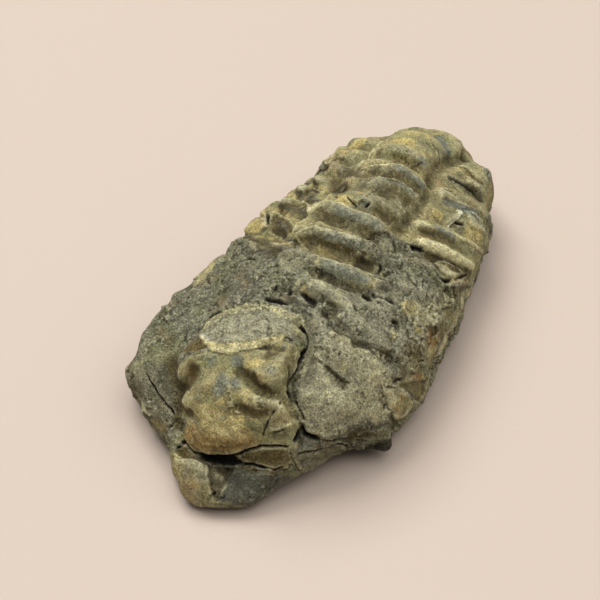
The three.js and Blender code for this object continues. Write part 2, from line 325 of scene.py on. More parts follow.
# The solid's own rings and ribs are smoothed down first, so that they can be carved finely.
# Its lower edge is rounded, so that the stone stands clear of the floor there.
rings = within([(300, 250), (304, 232), (315, 212), (330, 196), (350, 178), (366, 166), (384, 160),
                (400, 160), (420, 165), (436, 176), (446, 186), (470, 206), (476, 236), (474, 262),
                (448, 262), (420, 248), (400, 240), (380, 250), (380, 285), (352, 284), (322, 270)], 2.5)
FOOT_LOW, FOOT_HIGH = 1.0, 3.5
FOOT_ROUNDS, RING_ROUNDS = 50, 60
foot = 1 - ease(spots[:, 2], FOOT_LOW, FOOT_HIGH)
rounded = averaged(spots, FOOT_ROUNDS)
evened = averaged(rounded, RING_ROUNDS)
spots += (rounded - spots) * foot[:, None] + (evened - spots) * rings[:, None]
skin.vertices.foreach_set("co", (spots * MM).astype(np.float32).ravel())
skin.update()
skin.vertex_normals.foreach_get("vector", normals)
outward = normals.reshape(-1, 3)
skin_tree = BVHTree.FromObject(stone, bpy.context.evaluated_depsgraph_get())
traced = spots + MARK_WANDER * wobble
pixels = in_photo(traced)
seen = is_seen()


# Where the skin of the animal shows, the stone is smoother than the gritty matrix around it.
# Each area is given by its outline, and rough says how gritty it is left.
plate([(244, 238), (244, 226), (250, 216), (262, 209), (280, 196), (300, 184), (318, 171), (325, 158),
       (345, 142), (370, 134), (405, 128), (440, 126), (470, 150), (496, 190), (486, 220), (494, 240),
       (480, 262), (476, 285), (462, 284), (447, 283), (436, 270), (440, 259), (425, 250), (410, 243),
       (396, 238), (384, 233), (374, 231), (368, 238), (365, 248), (372, 258), (380, 270), (384, 283),
       (372, 291), (352, 286), (338, 277), (322, 270), (303, 260), (295, 247), (280, 247), (262, 250)], 0.8,
      0, rough=0.22)
plate([(299, 286), (318, 280), (335, 288), (352, 298), (359, 310), (345, 307), (325, 300), (303, 296)], 0.6,
      0, rough=0.35)
plate([(174, 370), (186, 356), (208, 350), (228, 355), (248, 350), (266, 347), (284, 340), (296, 344),
       (303, 352), (296, 374), (288, 395), (294, 413), (301, 430), (290, 447), (262, 447), (240, 455),
       (205, 457), (188, 450), (184, 438), (185, 422), (180, 405), (176, 388)], 0.8, 0, rough=0.1)
plate([(460, 284), (476, 290), (445, 355), (428, 385), (408, 425), (396, 420), (384, 400), (391, 376),
       (398, 352), (416, 330), (430, 310), (443, 294)], 1.2, 0, rough=0.45)
plate([(120, 370), (140, 346), (152, 334), (186, 345), (178, 368), (184, 395), (183, 412), (187, 440),
       (168, 454), (146, 432), (126, 395)], 2.0, 0, rough=0.62)
plate([(165, 452), (190, 450), (204, 464), (222, 508), (190, 508), (172, 480)], 0.8, 0, rough=0.3,
      ochre=0.35)
plate([(204, 464), (236, 468), (300, 474), (300, 480), (246, 510), (214, 510)], 0.6, 0, rough=0.45)
plate([(244, 456), (262, 447), (289, 447), (291, 462), (275, 471), (244, 465)], 0.5, 0, rough=0.25)
plate([(288, 449), (300, 437), (325, 447), (345, 442), (348, 450), (330, 463), (305, 477), (290, 462)], 0.6,
      0, rough=0.4)


# The skin goes on over the tail and the edges that the photograph doesn't show, down to a ragged
# line, below which the matrix is left rough. The line is lower at the tail and on the left side.
SKIN_START, SKIN_FULL = -6, 4
SKIN_FOOT, SKIN_FADE = 11.5, 1.5
TAIL_DROP, LEFT_DROP, RAGGED = 4, 3, 2.5
SKIN_SMOOTHNESS = 0.75
skin_line = SKIN_FOOT - TAIL_DROP * ease(spots[:, 1], 18, 42) - LEFT_DROP * ease(-spots[:, 0], 8, 15)
skin_line += RAGGED * flecks(6.0, 3, 33.3)
unseen_skin = ease(spots[:, 2], skin_line, skin_line + SKIN_FADE) * ease(spots[:, 1], SKIN_START, SKIN_FULL)
unseen_skin *= 1 - seen
grit = np.minimum(grit, 1 - SKIN_SMOOTHNESS * unseen_skin)


# The rings of the body are arched bars. Each has a thin pale broken rim, pale partly as a painted
# highlight, a rounded blue-grey face in front of it and a dark brown furrow at its foot, brown partly as
# painted shade. The lowest three run out under the matrix.
BAR_REACH = 2.4


def bar(rim_line, rise, front, face=0.0, top=0.0, rim=0.0, flat=0.0, taper=3.2):
    """Raises a bar whose rim is a line of pixels that runs left to right: its face falls over front mm
    to a furrow, and behind the rim it steps down a little and dies away."""
    where, away, fade, side = measure(rim_line, front + BAR_REACH, taper)
    s = away * side + 0.22 * wobble[where, 0]
    fade = fade * (1 + 0.2 * wobble[where, 1])
    face_fall = 1 - 0.35 * ease(-s, 0.0, front * 0.6) - 1.2 * ease(-s, front * 0.3, front)
    face_fall += 0.55 * ease(-s, front, front + BAR_REACH)
    back_fall = 1 - 0.35 * ease(s, 0.0, 0.25) - 0.65 * ease(s, 0.2, BAR_REACH)
    relief[where] += rise * np.where(s < 0, face_fall, back_fall) * fade
    # The furrow is painted brown, partly as the shade on a face turned from the light, and the rim pale,
    # partly as a highlight.
    furrow = ease(-s, front * 0.3, front * 0.7) * (1 - ease(-s, front + 0.5, front + 2.0))
    paint(where, furrow * fade, {"brown": face})
    paint(where, ease(-s, -0.1, 0.25) * (1 - ease(-s, front * 0.4, front * 0.8)) * fade, {"blue": top})
    paint(where, np.exp(-(((s - 0.05) / 0.2) ** 2)) * fade, {"pale": 0.8 * rim})
    paint(where, ease(s, 0.3, 0.6) * (1 - ease(s, 1.0, 1.8)) * fade, {"ochre": flat})


plate([(304, 250), (306, 232), (318, 208), (336, 194), (360, 174), (384, 160), (404, 160), (424, 172),
       (432, 190), (424, 214), (404, 236), (384, 246), (380, 280), (352, 282), (324, 268)], 3.0, 0,
      shade=0.5)
bar([(292, 284), (300, 281), (308, 280), (320, 285), (333, 291), (345, 300), (358, 312)], 0.6, 2.2, rim=0.5)
stain([(304, 285), (316, 288), (330, 294), (342, 302)], 1.3, blue=0.5, tan=0.7, pale=0.2)
crack([(298, 292), (304, 295), (311, 300), (319, 304)], 0.5, 0.7, gap=0.75)
bar([(305, 255), (314, 257), (326, 261), (338, 265), (348, 268), (358, 272), (368, 277), (378, 283),
     (390, 292)], 0.75, 3.0, face=0.3, rim=0.9)
stain([(316, 262), (328, 267), (340, 272), (352, 276), (364, 281), (372, 287)], 1.1, blue=0.8)
stain([(345, 283), (358, 288), (368, 293)], 0.8, brown=0.7)
groove([(352, 259), (361, 264), (370, 268), (377, 271)], 1.5, 0.5, brown=1.0)
stain([(352, 258), (361, 263), (370, 268), (377, 272)], 1.3, brown=0.9, shade=0.8, gap=0.45)
ridge([(376, 240), (372, 250), (378, 262)], 1.6, 0.35)
bar([(286, 248), (293, 242), (299, 234), (306, 230), (315, 229), (325, 231), (338, 234), (349, 238),
     (360, 242), (370, 249), (382, 260)], 0.85, 3.4, face=0.5, rim=0.7, flat=0.4)
stain([(322, 235), (334, 237), (346, 241), (358, 245), (368, 250)], 0.9, blue=0.75)
stain([(300, 240), (312, 242), (326, 244), (340, 248), (352, 253), (360, 259)], 0.6, brown=0.75, orange=0.3)
bar([(302, 230), (307, 222), (313, 214), (320, 207), (330, 205), (340, 208), (350, 211), (360, 215),
     (370, 219), (381, 226), (393, 238)], 0.85, 3.5, face=0.6, rim=0.95, flat=0.5)
stain([(330, 209), (342, 213), (354, 217), (366, 221), (376, 226), (384, 232)], 0.9, blue=0.7)
stain([(312, 219), (320, 214), (328, 215)], 1.0, brown=0.7)
bar([(358, 208), (364, 202), (372, 199), (380, 201), (388, 203), (395, 207), (402, 214), (410, 226)], 0.9,
    3.5, face=0.7, rim=0.5)
stain([(382, 207), (392, 212), (400, 219)], 0.9, blue=0.3, pale=0.25)
bar([(360, 192), (368, 185), (376, 181), (385, 179), (394, 180), (402, 184), (410, 190), (417, 197),
     (426, 209)], 0.9, 3.5, face=0.7, rim=0.5)
stain([(378, 184), (388, 182), (398, 185), (407, 191), (415, 199)], 0.9, blue=0.75)
bar([(352, 176), (358, 172), (367, 169), (376, 167), (385, 167), (393, 167), (402, 170), (410, 175),
     (419, 182), (432, 197)], 0.8, 2.8, face=0.7, rim=1.0, flat=0.5)
stain([(390, 169), (399, 171), (408, 177), (416, 183), (424, 191)], 0.8, blue=0.8)
groove([(434, 176), (430, 188), (425, 200), (416, 212), (406, 222), (396, 233)], 1.4, 0.4, brown=0.4)
lump(366, 205, 1.0, 0.1, blue=0.9, shade=0.6)
stain([(309, 246), (319, 249), (329, 253), (340, 258)], 1.0, ochre=0.6)
stain([(334, 199), (346, 200), (356, 208)], 1.3, ochre=0.9)
stain([(355, 192), (365, 196)], 0.7, orange=0.6, ochre=0.8)
stain([(360, 170), (372, 168)], 0.6, orange=0.4, pale=0.6)
lump(320, 226, 0.9, 0.35, ochre=0.9, pale=0.4)
lump(356, 243, 0.8, 0.1, white=0.5)
lump(406, 190, 0.6, 0.05, white=0.35)
cracks(([(346, 196), (352, 202), (358, 207)], 0.16, 0.6), ([(364, 208), (371, 204)], 0.2, 0.5),
       ([(371, 279), (376, 281), (382, 283)], 0.3, 0.8), ([(367, 237), (370, 239), (373, 238)], 0.4, 0.9),
       ([(379, 263), (381, 270), (377, 276)], 0.25, 0.6, 0.7),
       ([(361, 295), (367, 299), (373, 298)], 0.5, 0.9, 0.8), ([(380, 221), (385, 224)], 0.25, 0.5),
       ([(425, 184), (430, 186), (436, 188)], 0.2, 0.6))
stain([(370, 212), (380, 216)], 0.9, brown=0.8)
stain([(388, 228), (400, 230), (411, 228)], 1.0, brown=0.75)
stain([(376, 246), (390, 246), (392, 256)], 1.2, tan=1.0, pale=0.35)
stain([(370, 268), (376, 276), (381, 286), (390, 296)], 0.9, shade=1.0, gap=0.25)
stain([(300, 268), (312, 271), (323, 276)], 1.3, tan=1.0, pale=0.4)
ridge([(396, 234), (386, 248), (384, 262), (386, 276), (380, 292)], 2.4, 0.55)
plate([(277, 253), (285, 249), (302, 247), (318, 257), (312, 266), (298, 273), (280, 270)], 1.0, 0.25,
      rough=0.6, tan=0.5)


# The tail is the smooth round end of the animal: an ochre axis whose first ring still shows,
# a grey band on its right, and side lobes with weak ribs.
bar([(386, 147), (396, 147), (406, 149), (414, 153), (422, 159), (428, 166), (432, 172)], 0.6, 2.4,
    face=0.5, rim=0.2, top=0.3)
stain([(415, 157), (422, 162), (429, 169)], 0.8, blue=1.0)
stain([(386, 158), (397, 161), (408, 168), (417, 175), (425, 181)], 1.5, ochre=0.5)
stain([(390, 146), (403, 144), (418, 146)], 2.6, ochre=0.9)
stain([(403, 135), (420, 134)], 2.2, ochre=0.6)
stain([(433, 133), (440, 139), (446, 147), (450, 154), (451, 160)], 1.6, blue=0.8, shade=0.6)
groove([(433, 131), (441, 138), (448, 147), (452, 156), (449, 163)], 1.6, 0.35)
stain([(454, 142), (460, 149), (466, 156), (476, 163)], 1.2, tan=0.9, ochre=0.6)
stain([(372, 156), (384, 157), (396, 160)], 0.9, brown=0.6)
stain([(435, 150), (440, 154)], 0.6, pale=0.7)
stain([(411, 137), (416, 139)], 0.5, brown=0.7)
crack([(423, 142), (429, 144), (432, 147)], 0.15, 0.15, gap=0.5)
stain([(438, 166), (443, 162)], 0.6, brown=0.8)
groove([(470, 154), (461, 159), (450, 161), (440, 166), (434, 176), (429, 188)], 1.9, 0.75, brown=0.5)
lump(468, 155, 2.2, -1.1, brown=0.5)
lumps((444, 134, 3.0, 0.7), (457, 143, 3.0, 0.6), (472, 153, 1.8, -0.1), (492, 176, 1.8, -0.7),
      (417, 128, 3.0, -0.3), (484, 160, 3.0, -0.2), (489, 169, 2.5, -0.3), (492, 213, 1.8, -2.1),
      (494, 224, 1.8, -0.8), (491, 253, 2.4, -1.3), (485, 263, 2.5, -1.2), (479, 282, 2.4, -0.7))
crack([(450, 176), (462, 183), (474, 192), (484, 203)], 0.22, 0.35, gap=0.5)
stain([(458, 162), (466, 167)], 0.5, ochre=1.0, pale=0.3)
stain([(440, 199), (455, 201), (470, 210), (480, 216)], 1.2, shade=0.9, blue=0.5)
ridge([(384, 141), (378, 146), (373, 151), (368, 158), (363, 163), (358, 168)], 0.55, 0.15, pale=0.6)
groove([(389, 143), (381, 149), (376, 155), (369, 162)], 0.8, 0.3, brown=0.3)
stain([(345, 147), (358, 142), (372, 140)], 1.6, ochre=0.8)
lump(360, 148, 1.3, -0.5, brown=0.5)
crack([(364, 141), (369, 142)], 0.25, 0.3, gap=0.6)
bar([(451, 161), (458, 163), (466, 167), (474, 173), (481, 180), (488, 190)], 0.3, 0.8, face=0.6, rim=0.3)
bar([(441, 167), (450, 169), (459, 172), (468, 178), (477, 185), (486, 195)], 0.5, 1.8, rim=0.4)
groove([(446, 175), (453, 178), (461, 182), (469, 188), (478, 195), (485, 203)], 1.3, 0.5, brown=0.6,
       blue=0.7, shade=0.5)
stain([(452, 165), (462, 170), (472, 178), (481, 187)], 0.9, ochre=0.7)


# The ribs of the right side are flat-topped and sweep back. The upper one is pale, with a white
# broken edge in front of it, and the two below it run down to a loose-looking block.
bar([(432, 193), (440, 190), (449, 192), (459, 196), (469, 200), (479, 206), (486, 212)], 0.6, 1.9,
    face=0.5, rim=0.6)
stain([(436, 194), (449, 195), (462, 200), (474, 206)], 0.9, tan=0.6, pale=0.45)
crack([(441, 191), (447, 193), (453, 193)], 0.14, 0.3, gap=0.7)
stain([(440, 198), (449, 201), (460, 206), (471, 211), (481, 216)], 1.0, blue=0.8)
stain([(430, 209), (438, 214), (446, 219)], 1.2, ochre=0.9)
stain([(431, 203), (440, 208)], 0.6, orange=0.5)
ledge([(447, 228), (452, 223), (458, 218), (463, 212)], 0.5, 0.2, 1.6)
stain([(463, 212), (458, 218), (452, 223), (447, 228)], 0.22, white=1.0)
stain([(455, 212), (461, 212), (457, 216)], 0.3, white=0.8)
crack([(453, 221), (461, 223), (466, 225)], 0.45, 0.8, gap=0.9)
plate([(465, 211), (472, 211), (482, 220), (484, 234), (470, 226)], 0.4, 0.4, tan=0.6)
bar([(408, 222), (418, 223), (428, 226), (438, 228), (447, 233), (455, 238), (463, 243)], 0.6, 1.6,
    face=0.7, rim=0.4)
stain([(431, 228), (439, 229), (447, 234), (455, 240)], 0.8, blue=1.0)
stain([(410, 222), (422, 224), (432, 226)], 0.7, pale=0.6)
stain([(449, 232), (460, 238), (470, 245), (478, 252)], 0.6, pale=0.55, ochre=0.5)
stain([(420, 245), (433, 248), (446, 255), (458, 261), (470, 267)], 0.9, pale=0.8, tan=0.8)
stain([(428, 235), (440, 240), (452, 246), (464, 253)], 0.5, brown=0.8)
stain([(413, 236), (422, 236), (433, 238)], 0.4, orange=0.8)
stain([(462, 230), (470, 236), (474, 243)], 1.6, ochre=1.0)
ledge([(458, 239), (468, 243), (476, 249), (482, 254)], 0.35, 0.2, 1.2, pale=0.6)
bar([(413, 240), (422, 241), (431, 243), (440, 248), (449, 252), (458, 257), (467, 263), (475, 269)], 0.6,
    1.8, face=0.9, rim=0.5)
stain([(414, 241), (431, 243), (449, 252), (467, 263), (475, 270)], 0.9, pale=0.9, tan=0.2, blue=0.2)
stain([(461, 259), (468, 264), (474, 269)], 0.8, blue=0.5)
stain([(464, 226), (471, 232), (477, 240), (480, 247)], 1.7, ochre=1.0, pale=0.35)
stain([(487, 227), (489, 235), (488, 243)], 1.1, blue=0.7, gap=0.35)
groove([(410, 247), (418, 249), (426, 252)], 0.6, 0.6, gap=0.8)
groove([(424, 251), (434, 254), (444, 258)], 0.9, 0.4, brown=0.8, shade=0.5)
plate([(434, 263), (439, 260), (449, 263), (460, 268), (463, 273), (454, 278), (447, 278), (440, 272)], 0.3,
      0.55, rough=0.35, tan=0.6, ochre=0.3)
crack([(434, 270), (439, 276), (445, 281), (452, 281)], 0.4, 1.0)
crack([(452, 281), (462, 277), (469, 275)], 0.2, 0.6, gap=0.85)
bar([(444, 291), (452, 286), (461, 281), (468, 284)], 0.5, 1.4, face=0.5, flat=0.4)


# The ribs of the left side lie like tiles, and end in knobs along the edge. Each has a light rim,
# partly a painted highlight, a face in front of it painted dark as its shade and a lit flat before the
# next. The first knob is bright ochre.
lumps((275, 202, 1.6, -1.0), (292, 189, 1.6, -0.8), (306, 177, 2.4, -2.4), (322, 164, 2.0, -2.0),
      (331, 157, 2.2, 0.3), (345, 141, 2.0, -0.6), (238, 242, 2.0, -1.3))
plate([(244, 230), (251, 222), (262, 212), (268, 211), (267, 226), (260, 234), (247, 234)], 0.5, 0.4,
      ochre=1.0, pale=0.2)
crack([(268, 215), (268, 221), (266, 227)], 0.3, 0.9, gap=0.8)
bar([(265, 215), (273, 213), (280, 215), (288, 221), (296, 228)], 0.7, 2.6, face=0.9, rim=0.5, flat=0.5,
    taper=1.2)
groove([(268, 219), (275, 218), (282, 221), (289, 228), (294, 233)], 0.75, 0.3, brown=1.0)
stain([(272, 224), (280, 229), (289, 236)], 1.5, blue=0.3, shade=1.0, gap=0.3)
stain([(272, 210), (280, 212), (288, 217)], 0.8, ochre=0.7)
bar([(250, 240), (260, 240), (270, 243), (280, 247), (290, 249)], 0.4, 1.2, face=0.7, rim=0.3, flat=0.6,
    taper=1.2)
stain([(264, 230), (275, 236), (286, 242)], 0.3, pale=0.6)
crack([(283, 242), (290, 242), (297, 243)], 0.15, 0.4, gap=0.7)
ledge([(260, 252), (255, 246), (251, 240)], 0.3, 0.2, 1.2, pale=0.4)
bar([(278, 203), (286, 201), (295, 201), (303, 204), (310, 209), (318, 214)], 0.7, 2.0, face=0.7, rim=0.5,
    flat=0.4, taper=1.2)
groove([(280, 206), (288, 204), (296, 204), (304, 207), (311, 213)], 0.6, 0.25, brown=1.0)
stain([(284, 208), (294, 208), (304, 211), (311, 216)], 0.9, blue=0.5, shade=1.0, gap=0.25)
stain([(281, 199), (290, 197), (299, 198)], 0.9, ochre=0.9, pale=0.3)
bar([(294, 191), (300, 189), (308, 189), (316, 190), (326, 195)], 0.7, 2.2, face=1.0, rim=0.4, flat=0.6,
    taper=1.2)
groove([(297, 194), (304, 192), (312, 192), (320, 195)], 0.65, 0.4, brown=1.0)
stain([(300, 197), (308, 195), (318, 198)], 1.1, brown=0.7, shade=1.0, gap=0.4)
stain([(299, 186), (306, 184), (314, 185)], 0.9, ochre=0.7, pale=0.4)
stain([(304, 199), (312, 200), (321, 204)], 1.0, shade=1.0, gap=0.25)
stain([(336, 168), (345, 172), (354, 176)], 1.3, brown=0.7, shade=0.9)
stain([(252, 244), (264, 248), (280, 252), (292, 254)], 1.8, shade=0.8, brown=0.4)
stain([(284, 240), (292, 244), (298, 248)], 0.9, shade=0.8)
stain([(246, 239), (262, 242), (280, 242), (297, 243)], 1.1, shade=0.9, brown=0.65)
stain([(305, 200), (318, 202)], 1.0, brown=0.8, gap=0.35)
for line, width in (
        ([(274, 219), (282, 225), (291, 233)], 0.9), ([(294, 192), (302, 195), (310, 197)], 0.7),
        ([(277, 204), (283, 207), (290, 207)], 0.6), ([(330, 190), (337, 187), (344, 185)], 1.3),
        ([(246, 236), (252, 240), (260, 242)], 0.8), ([(312, 180), (318, 184)], 0.6)):
    stain(line, width, gap=0.5, brown=0.7)
stain([(324, 185), (333, 188), (344, 187)], 1.0, brown=0.8)
stain([(308, 201), (317, 204)], 0.9, gap=0.45)
stain([(354, 172), (364, 174)], 0.9, brown=0.7)
stain([(354, 146), (366, 147), (380, 146)], 1.2, brown=0.55)
stain([(402, 144), (414, 145)], 1.0, brown=0.4)
bar([(311, 181), (317, 179), (325, 181)], 0.5, 1.2, face=0.7, rim=0.2, taper=1.0)
bar([(327, 162), (337, 156), (348, 156), (360, 158)], 0.6, 2.4, face=0.3, rim=0.5, flat=0.6, taper=1.2)
groove([(328, 165), (337, 160), (348, 160)], 0.6, 0.3, brown=0.8)
plate([(328, 183), (334, 179), (345, 181), (350, 187), (344, 193), (334, 194)], 1.6, -0.4, rough=0.15,
      brown=0.8, shade=0.6, gap=0.1)
crack([(334, 192), (340, 189), (346, 186)], 0.5, 0.6, gap=0.95)
crack([(323, 176), (329, 178)], 0.4, 0.5, gap=0.6)
for x, y, radius, rise, pale in ((297, 229, 0.8, 0.15, 0.9), (305, 225, 0.6, 0.1, 0.7),
                                 (314, 214, 0.8, 0.15, 0.9), (326, 200, 0.9, 0.1, 0.7)):
    lump(x, y, radius, rise, pale=pale)
stain([(297, 229), (306, 224), (314, 215), (321, 208), (327, 199)], 0.4, pale=0.45)
groove([(300, 240), (297, 243), (296, 247)], 0.8, 0.4, brown=0.9)


# The crescent of tan matrix behind the glabella is a thin plate with pale broken rims.
# A crack runs down its right end and on round the glabella.
plate([(198, 332), (210, 320), (222, 312), (236, 306), (250, 304), (264, 307), (280, 310), (292, 316),
       (300, 325), (305, 338), (298, 342), (283, 338), (270, 344), (250, 347), (236, 351), (222, 354),
       (210, 348), (202, 340)], 0.8, -0.15, rough=0.6, tan=1.0, pale=0.1)
ridge([(199, 331), (210, 321), (222, 313), (236, 307), (250, 305)], 0.35, 0.12, pale=0.9)
stain([(200, 329), (211, 321), (223, 313), (236, 308), (250, 306), (268, 307), (284, 312), (297, 318)], 0.7,
      pale=0.75)
ledge([(283, 339), (270, 343), (250, 346), (236, 350), (224, 353), (210, 347), (203, 341)], -0.12, 0.2, 1.2)
plate([(198, 333), (208, 340), (222, 343), (238, 342), (256, 340), (272, 336), (288, 334), (281, 341),
       (263, 346), (244, 350), (228, 354), (214, 351), (204, 344)], 0.5, 0.0, rough=0.3, level=0.6,
      pale=0.6, ochre=0.9)
stain([(212, 347), (226, 350), (240, 348), (254, 345), (268, 341)], 0.5, pale=1.0, white=0.2)
stain([(200, 333), (206, 338), (210, 342)], 0.5, white=0.6)
crack([(214, 337), (221, 338)], 0.2, 0.3, gap=0.7)
stain([(240, 334), (250, 331), (262, 332), (276, 334)], 0.3, gap=0.4)
stain([(292, 310), (298, 322), (300, 332), (298, 340)], 1.1, tan=1.0, pale=0.7)
crack([(282, 337), (290, 338), (296, 340)], 0.2, 0.3, gap=0.8)
groove([(206, 316), (214, 314), (222, 311)], 0.6, 0.5, gap=0.7)
plate([(182, 352), (190, 342), (200, 338), (208, 346), (200, 351)], 0.6, 0, rough=0.3, orange=0.6,
      brown=0.8)
crack([(300, 324), (303, 330), (306, 337), (307, 343), (304, 351), (302, 357), (298, 367), (293, 378),
       (289, 388), (290, 396), (296, 404), (301, 413), (304, 422)], 0.18, 0.8)
crack([(304, 350), (302, 358), (298, 366)], 0.45, 0.9)
crack([(289, 385), (288, 396)], 0.3, 0.6)
stain([(297, 341), (303, 349), (299, 359), (293, 372)], 0.3, pale=0.6)


# The glabella is the smooth swollen middle of the head: two pairs of side lobes with deep brown
# furrows between them, brown partly as painted shade, and a round front that overhangs a gap painted black
# as its shade.
lumps((270, 370, 2.6, 0.35), (282, 360, 1.2, 0.2))
groove([(262, 353), (273, 354), (280, 353)], 0.6, 0.25, brown=0.6)
groove([(287, 362), (290, 370), (290, 380), (286, 389)], 0.8, 0.4, brown=0.6)
lump(271, 370, 1.0, 0.05, blue=0.9)
stain([(255, 374), (261, 380), (266, 382)], 0.8, orange=0.9, ochre=0.9)
stain([(253, 362), (262, 362)], 1.0, ochre=0.6)
groove([(232, 368), (243, 373), (252, 382), (262, 391), (274, 396), (284, 395)], 1.5, 0.3, brown=0.6)
ledge([(236, 366), (247, 373), (256, 383), (266, 391), (280, 392)], 0.45, 1.0, 4.0)
stain([(240, 369), (250, 374), (258, 383), (268, 390), (279, 391)], 0.9, brown=0.9, orange=0.4)
groove([(232, 402), (243, 409), (254, 413), (264, 412), (272, 408)], 1.5, 0.4, brown=0.7)
ledge([(233, 400), (244, 406), (254, 410), (264, 409)], 0.25, 0.9, 2.6)
stain([(235, 405), (245, 410), (255, 413), (264, 412)], 1.1, brown=1.0)
lump(252, 396, 2.2, 0.1)
groove([(198, 363), (193, 371), (188, 380), (184, 388), (181, 394)], 1.9, 0.6, brown=0.7)
stain([(196, 366), (191, 373), (186, 381)], 1.2, orange=0.9)
stain([(187, 383), (184, 389), (181, 395)], 0.8, brown=1.0, gap=0.25)
lump(181, 370, 2.2, 0.5)
groove([(181, 408), (188, 413), (196, 410)], 1.3, 0.4, brown=0.9)
lump(186, 401, 1.7, 0.4, pale=0.3)
groove([(174, 352), (172, 364), (174, 378), (178, 392), (179, 406), (178, 420), (180, 434)], 1.8, 0.5,
       brown=0.75)
stain([(200, 362), (212, 360), (222, 361)], 1.2, blue=0.6, shade=0.3)
stain([(296, 370), (294, 382)], 0.9, brown=0.5, gap=0.2)
stain([(276, 410), (270, 418)], 0.9, brown=0.45)
stain([(226, 361), (238, 361), (248, 358)], 1.3, blue=0.8, shade=0.35)
stain([(217, 370), (223, 382), (218, 394), (211, 398)], 1.3, blue=0.7, shade=0.3)
stain([(221, 413), (226, 421)], 0.8, blue=0.7, shade=0.4)
stain([(228, 376), (236, 384), (233, 394)], 1.1, blue=0.7, shade=0.5)
stain([(194, 408), (204, 411), (214, 409)], 1.2, ochre=0.9, pale=0.5)
stain([(208, 378), (213, 383)], 0.8, pale=0.4)
stain([(208, 368), (211, 375), (213, 383)], 0.9, pale=0.4)
stain([(214, 397), (221, 400), (229, 398)], 0.9, ochre=1.0, pale=0.35)
stain([(204, 408), (212, 417), (222, 426), (236, 429), (250, 426)], 2.4, ochre=1.0, pale=0.45)
stain([(190, 412), (192, 424), (198, 434)], 1.4, tan=0.8, ochre=0.5)
stain([(240, 366), (256, 364), (262, 372)], 0.8, ochre=0.7)
stain([(236, 385), (246, 398), (262, 404)], 1.6, ochre=0.4)
stain([(228, 406), (237, 414), (248, 425)], 0.9, ochre=0.9, pale=0.35)
stain([(186, 424), (192, 436), (206, 443), (226, 445), (244, 442), (258, 436)], 2.4, orange=0.65, ochre=0.4)
stain([(206, 447), (222, 449), (238, 447)], 1.1, orange=0.7, brown=0.45)
stain([(188, 402), (192, 409), (190, 420)], 1.2, orange=0.35, tan=0.5)
lump(224, 432, 7.5, 0.45)
stain([(196, 395), (198, 410), (196, 425)], 1.2, ochre=0.5)
groove([(255, 346), (265, 348), (276, 349), (290, 352)], 0.8, 0.4, brown=0.6)
stain([(279, 346), (286, 350)], 0.9, blue=0.8)
stain([(260, 353), (272, 355), (286, 357)], 1.3, brown=0.8, shade=0.7)
stain([(300, 360), (295, 372), (290, 384)], 0.9, shade=0.8, gap=0.25)
stain([(278, 406), (286, 412), (290, 420)], 1.0, tan=0.9, pale=0.45)
crack([(245, 429), (258, 430)], 0.12, 0.15, gap=0.4)
ledge([(266, 431), (276, 430), (286, 427), (298, 423)], 0.35, 0.12, 1.8, pale=0.6)
stain([(286, 400), (294, 408), (299, 417), (301, 424)], 0.5, pale=0.95)
stain([(268, 431), (278, 429), (288, 426), (298, 422)], 0.35, pale=0.7)
stain([(268, 434), (280, 433), (292, 430)], 0.9, shade=0.5, brown=0.4)
plate([(283, 402), (293, 410), (300, 422), (284, 426), (268, 430), (270, 418)], 0.6, 0.05, level=0.8,
      tan=0.6, ochre=0.5, pale=0.15)
crack([(271, 433), (283, 430), (292, 430)], 0.15, 0.2, gap=0.5)
crack([(286, 397), (280, 404), (274, 412), (268, 421), (264, 431), (262, 438)], 0.17, 0.25, gap=0.8)
stain([(286, 400), (292, 408), (297, 417), (300, 424)], 0.3, pale=0.8)
stain([(283, 408), (287, 416), (280, 421)], 1.1, ochre=0.6)
crack([(186, 441), (189, 447), (194, 452), (202, 455), (212, 456), (226, 456), (240, 454), (250, 449),
       (262, 446), (275, 446), (290, 447)], 0.2, 0.8)
cracks(([(196, 453), (206, 457), (216, 459), (228, 460), (240, 459)], 0.8, 0.9),
       ([(200, 457), (210, 461), (222, 464), (232, 464), (244, 462)], 0.45, 0.9),
       ([(240, 464), (252, 464), (264, 468), (276, 470), (286, 466)], 0.25, 0.6),
       ([(181, 444), (184, 442), (186, 440)], 0.4, 0.5), ([(176, 448), (182, 446)], 0.25, 0.3))
plate([(240, 458), (250, 451), (264, 449), (288, 449), (291, 459), (284, 466), (274, 469), (254, 465)], 0.6,
      0, brown=1.0, orange=0.4, shade=0.5)
stain([(266, 470), (276, 471), (286, 467), (291, 463)], 0.35, orange=0.9, pale=0.3)
ledge([(248, 467), (262, 470), (276, 472), (288, 468), (292, 465)], 0.3, 0.15, 1.2)


# The left cheek is finer matrix, broken by a curved crack. The front plate below it carries
# an ochre knob on its left and a grey-green face on its right.
crack([(148, 374), (151, 382), (157, 391), (164, 401), (171, 410), (175, 416)], 0.18, 0.5)
crack([(178, 418), (172, 425), (167, 427)], 0.12, 0.2, gap=0.5)
ledge([(150, 366), (148, 374), (152, 384), (160, 396), (172, 411)], 0.25, 0.25, 2.0)
plate([(152, 366), (168, 360), (177, 374), (181, 395), (180, 412), (172, 414), (160, 398), (151, 384)], 1.0,
      0, shade=0.75)
plate([(124, 385), (132, 372), (150, 380), (160, 400), (172, 418), (180, 436), (160, 446), (140, 425)], 1.2,
      0, shade=0.5)
stain([(135, 372), (138, 385), (146, 396), (155, 408)], 1.4, tan=0.4)
stain([(128, 390), (135, 402), (145, 415), (158, 436)], 1.2, tan=0.7, ochre=0.4)
stain([(150, 420), (160, 428), (170, 430)], 1.3, ochre=0.45)
stain([(133, 388), (138, 400), (147, 408), (156, 414)], 1.1, tan=1.0, pale=0.5)
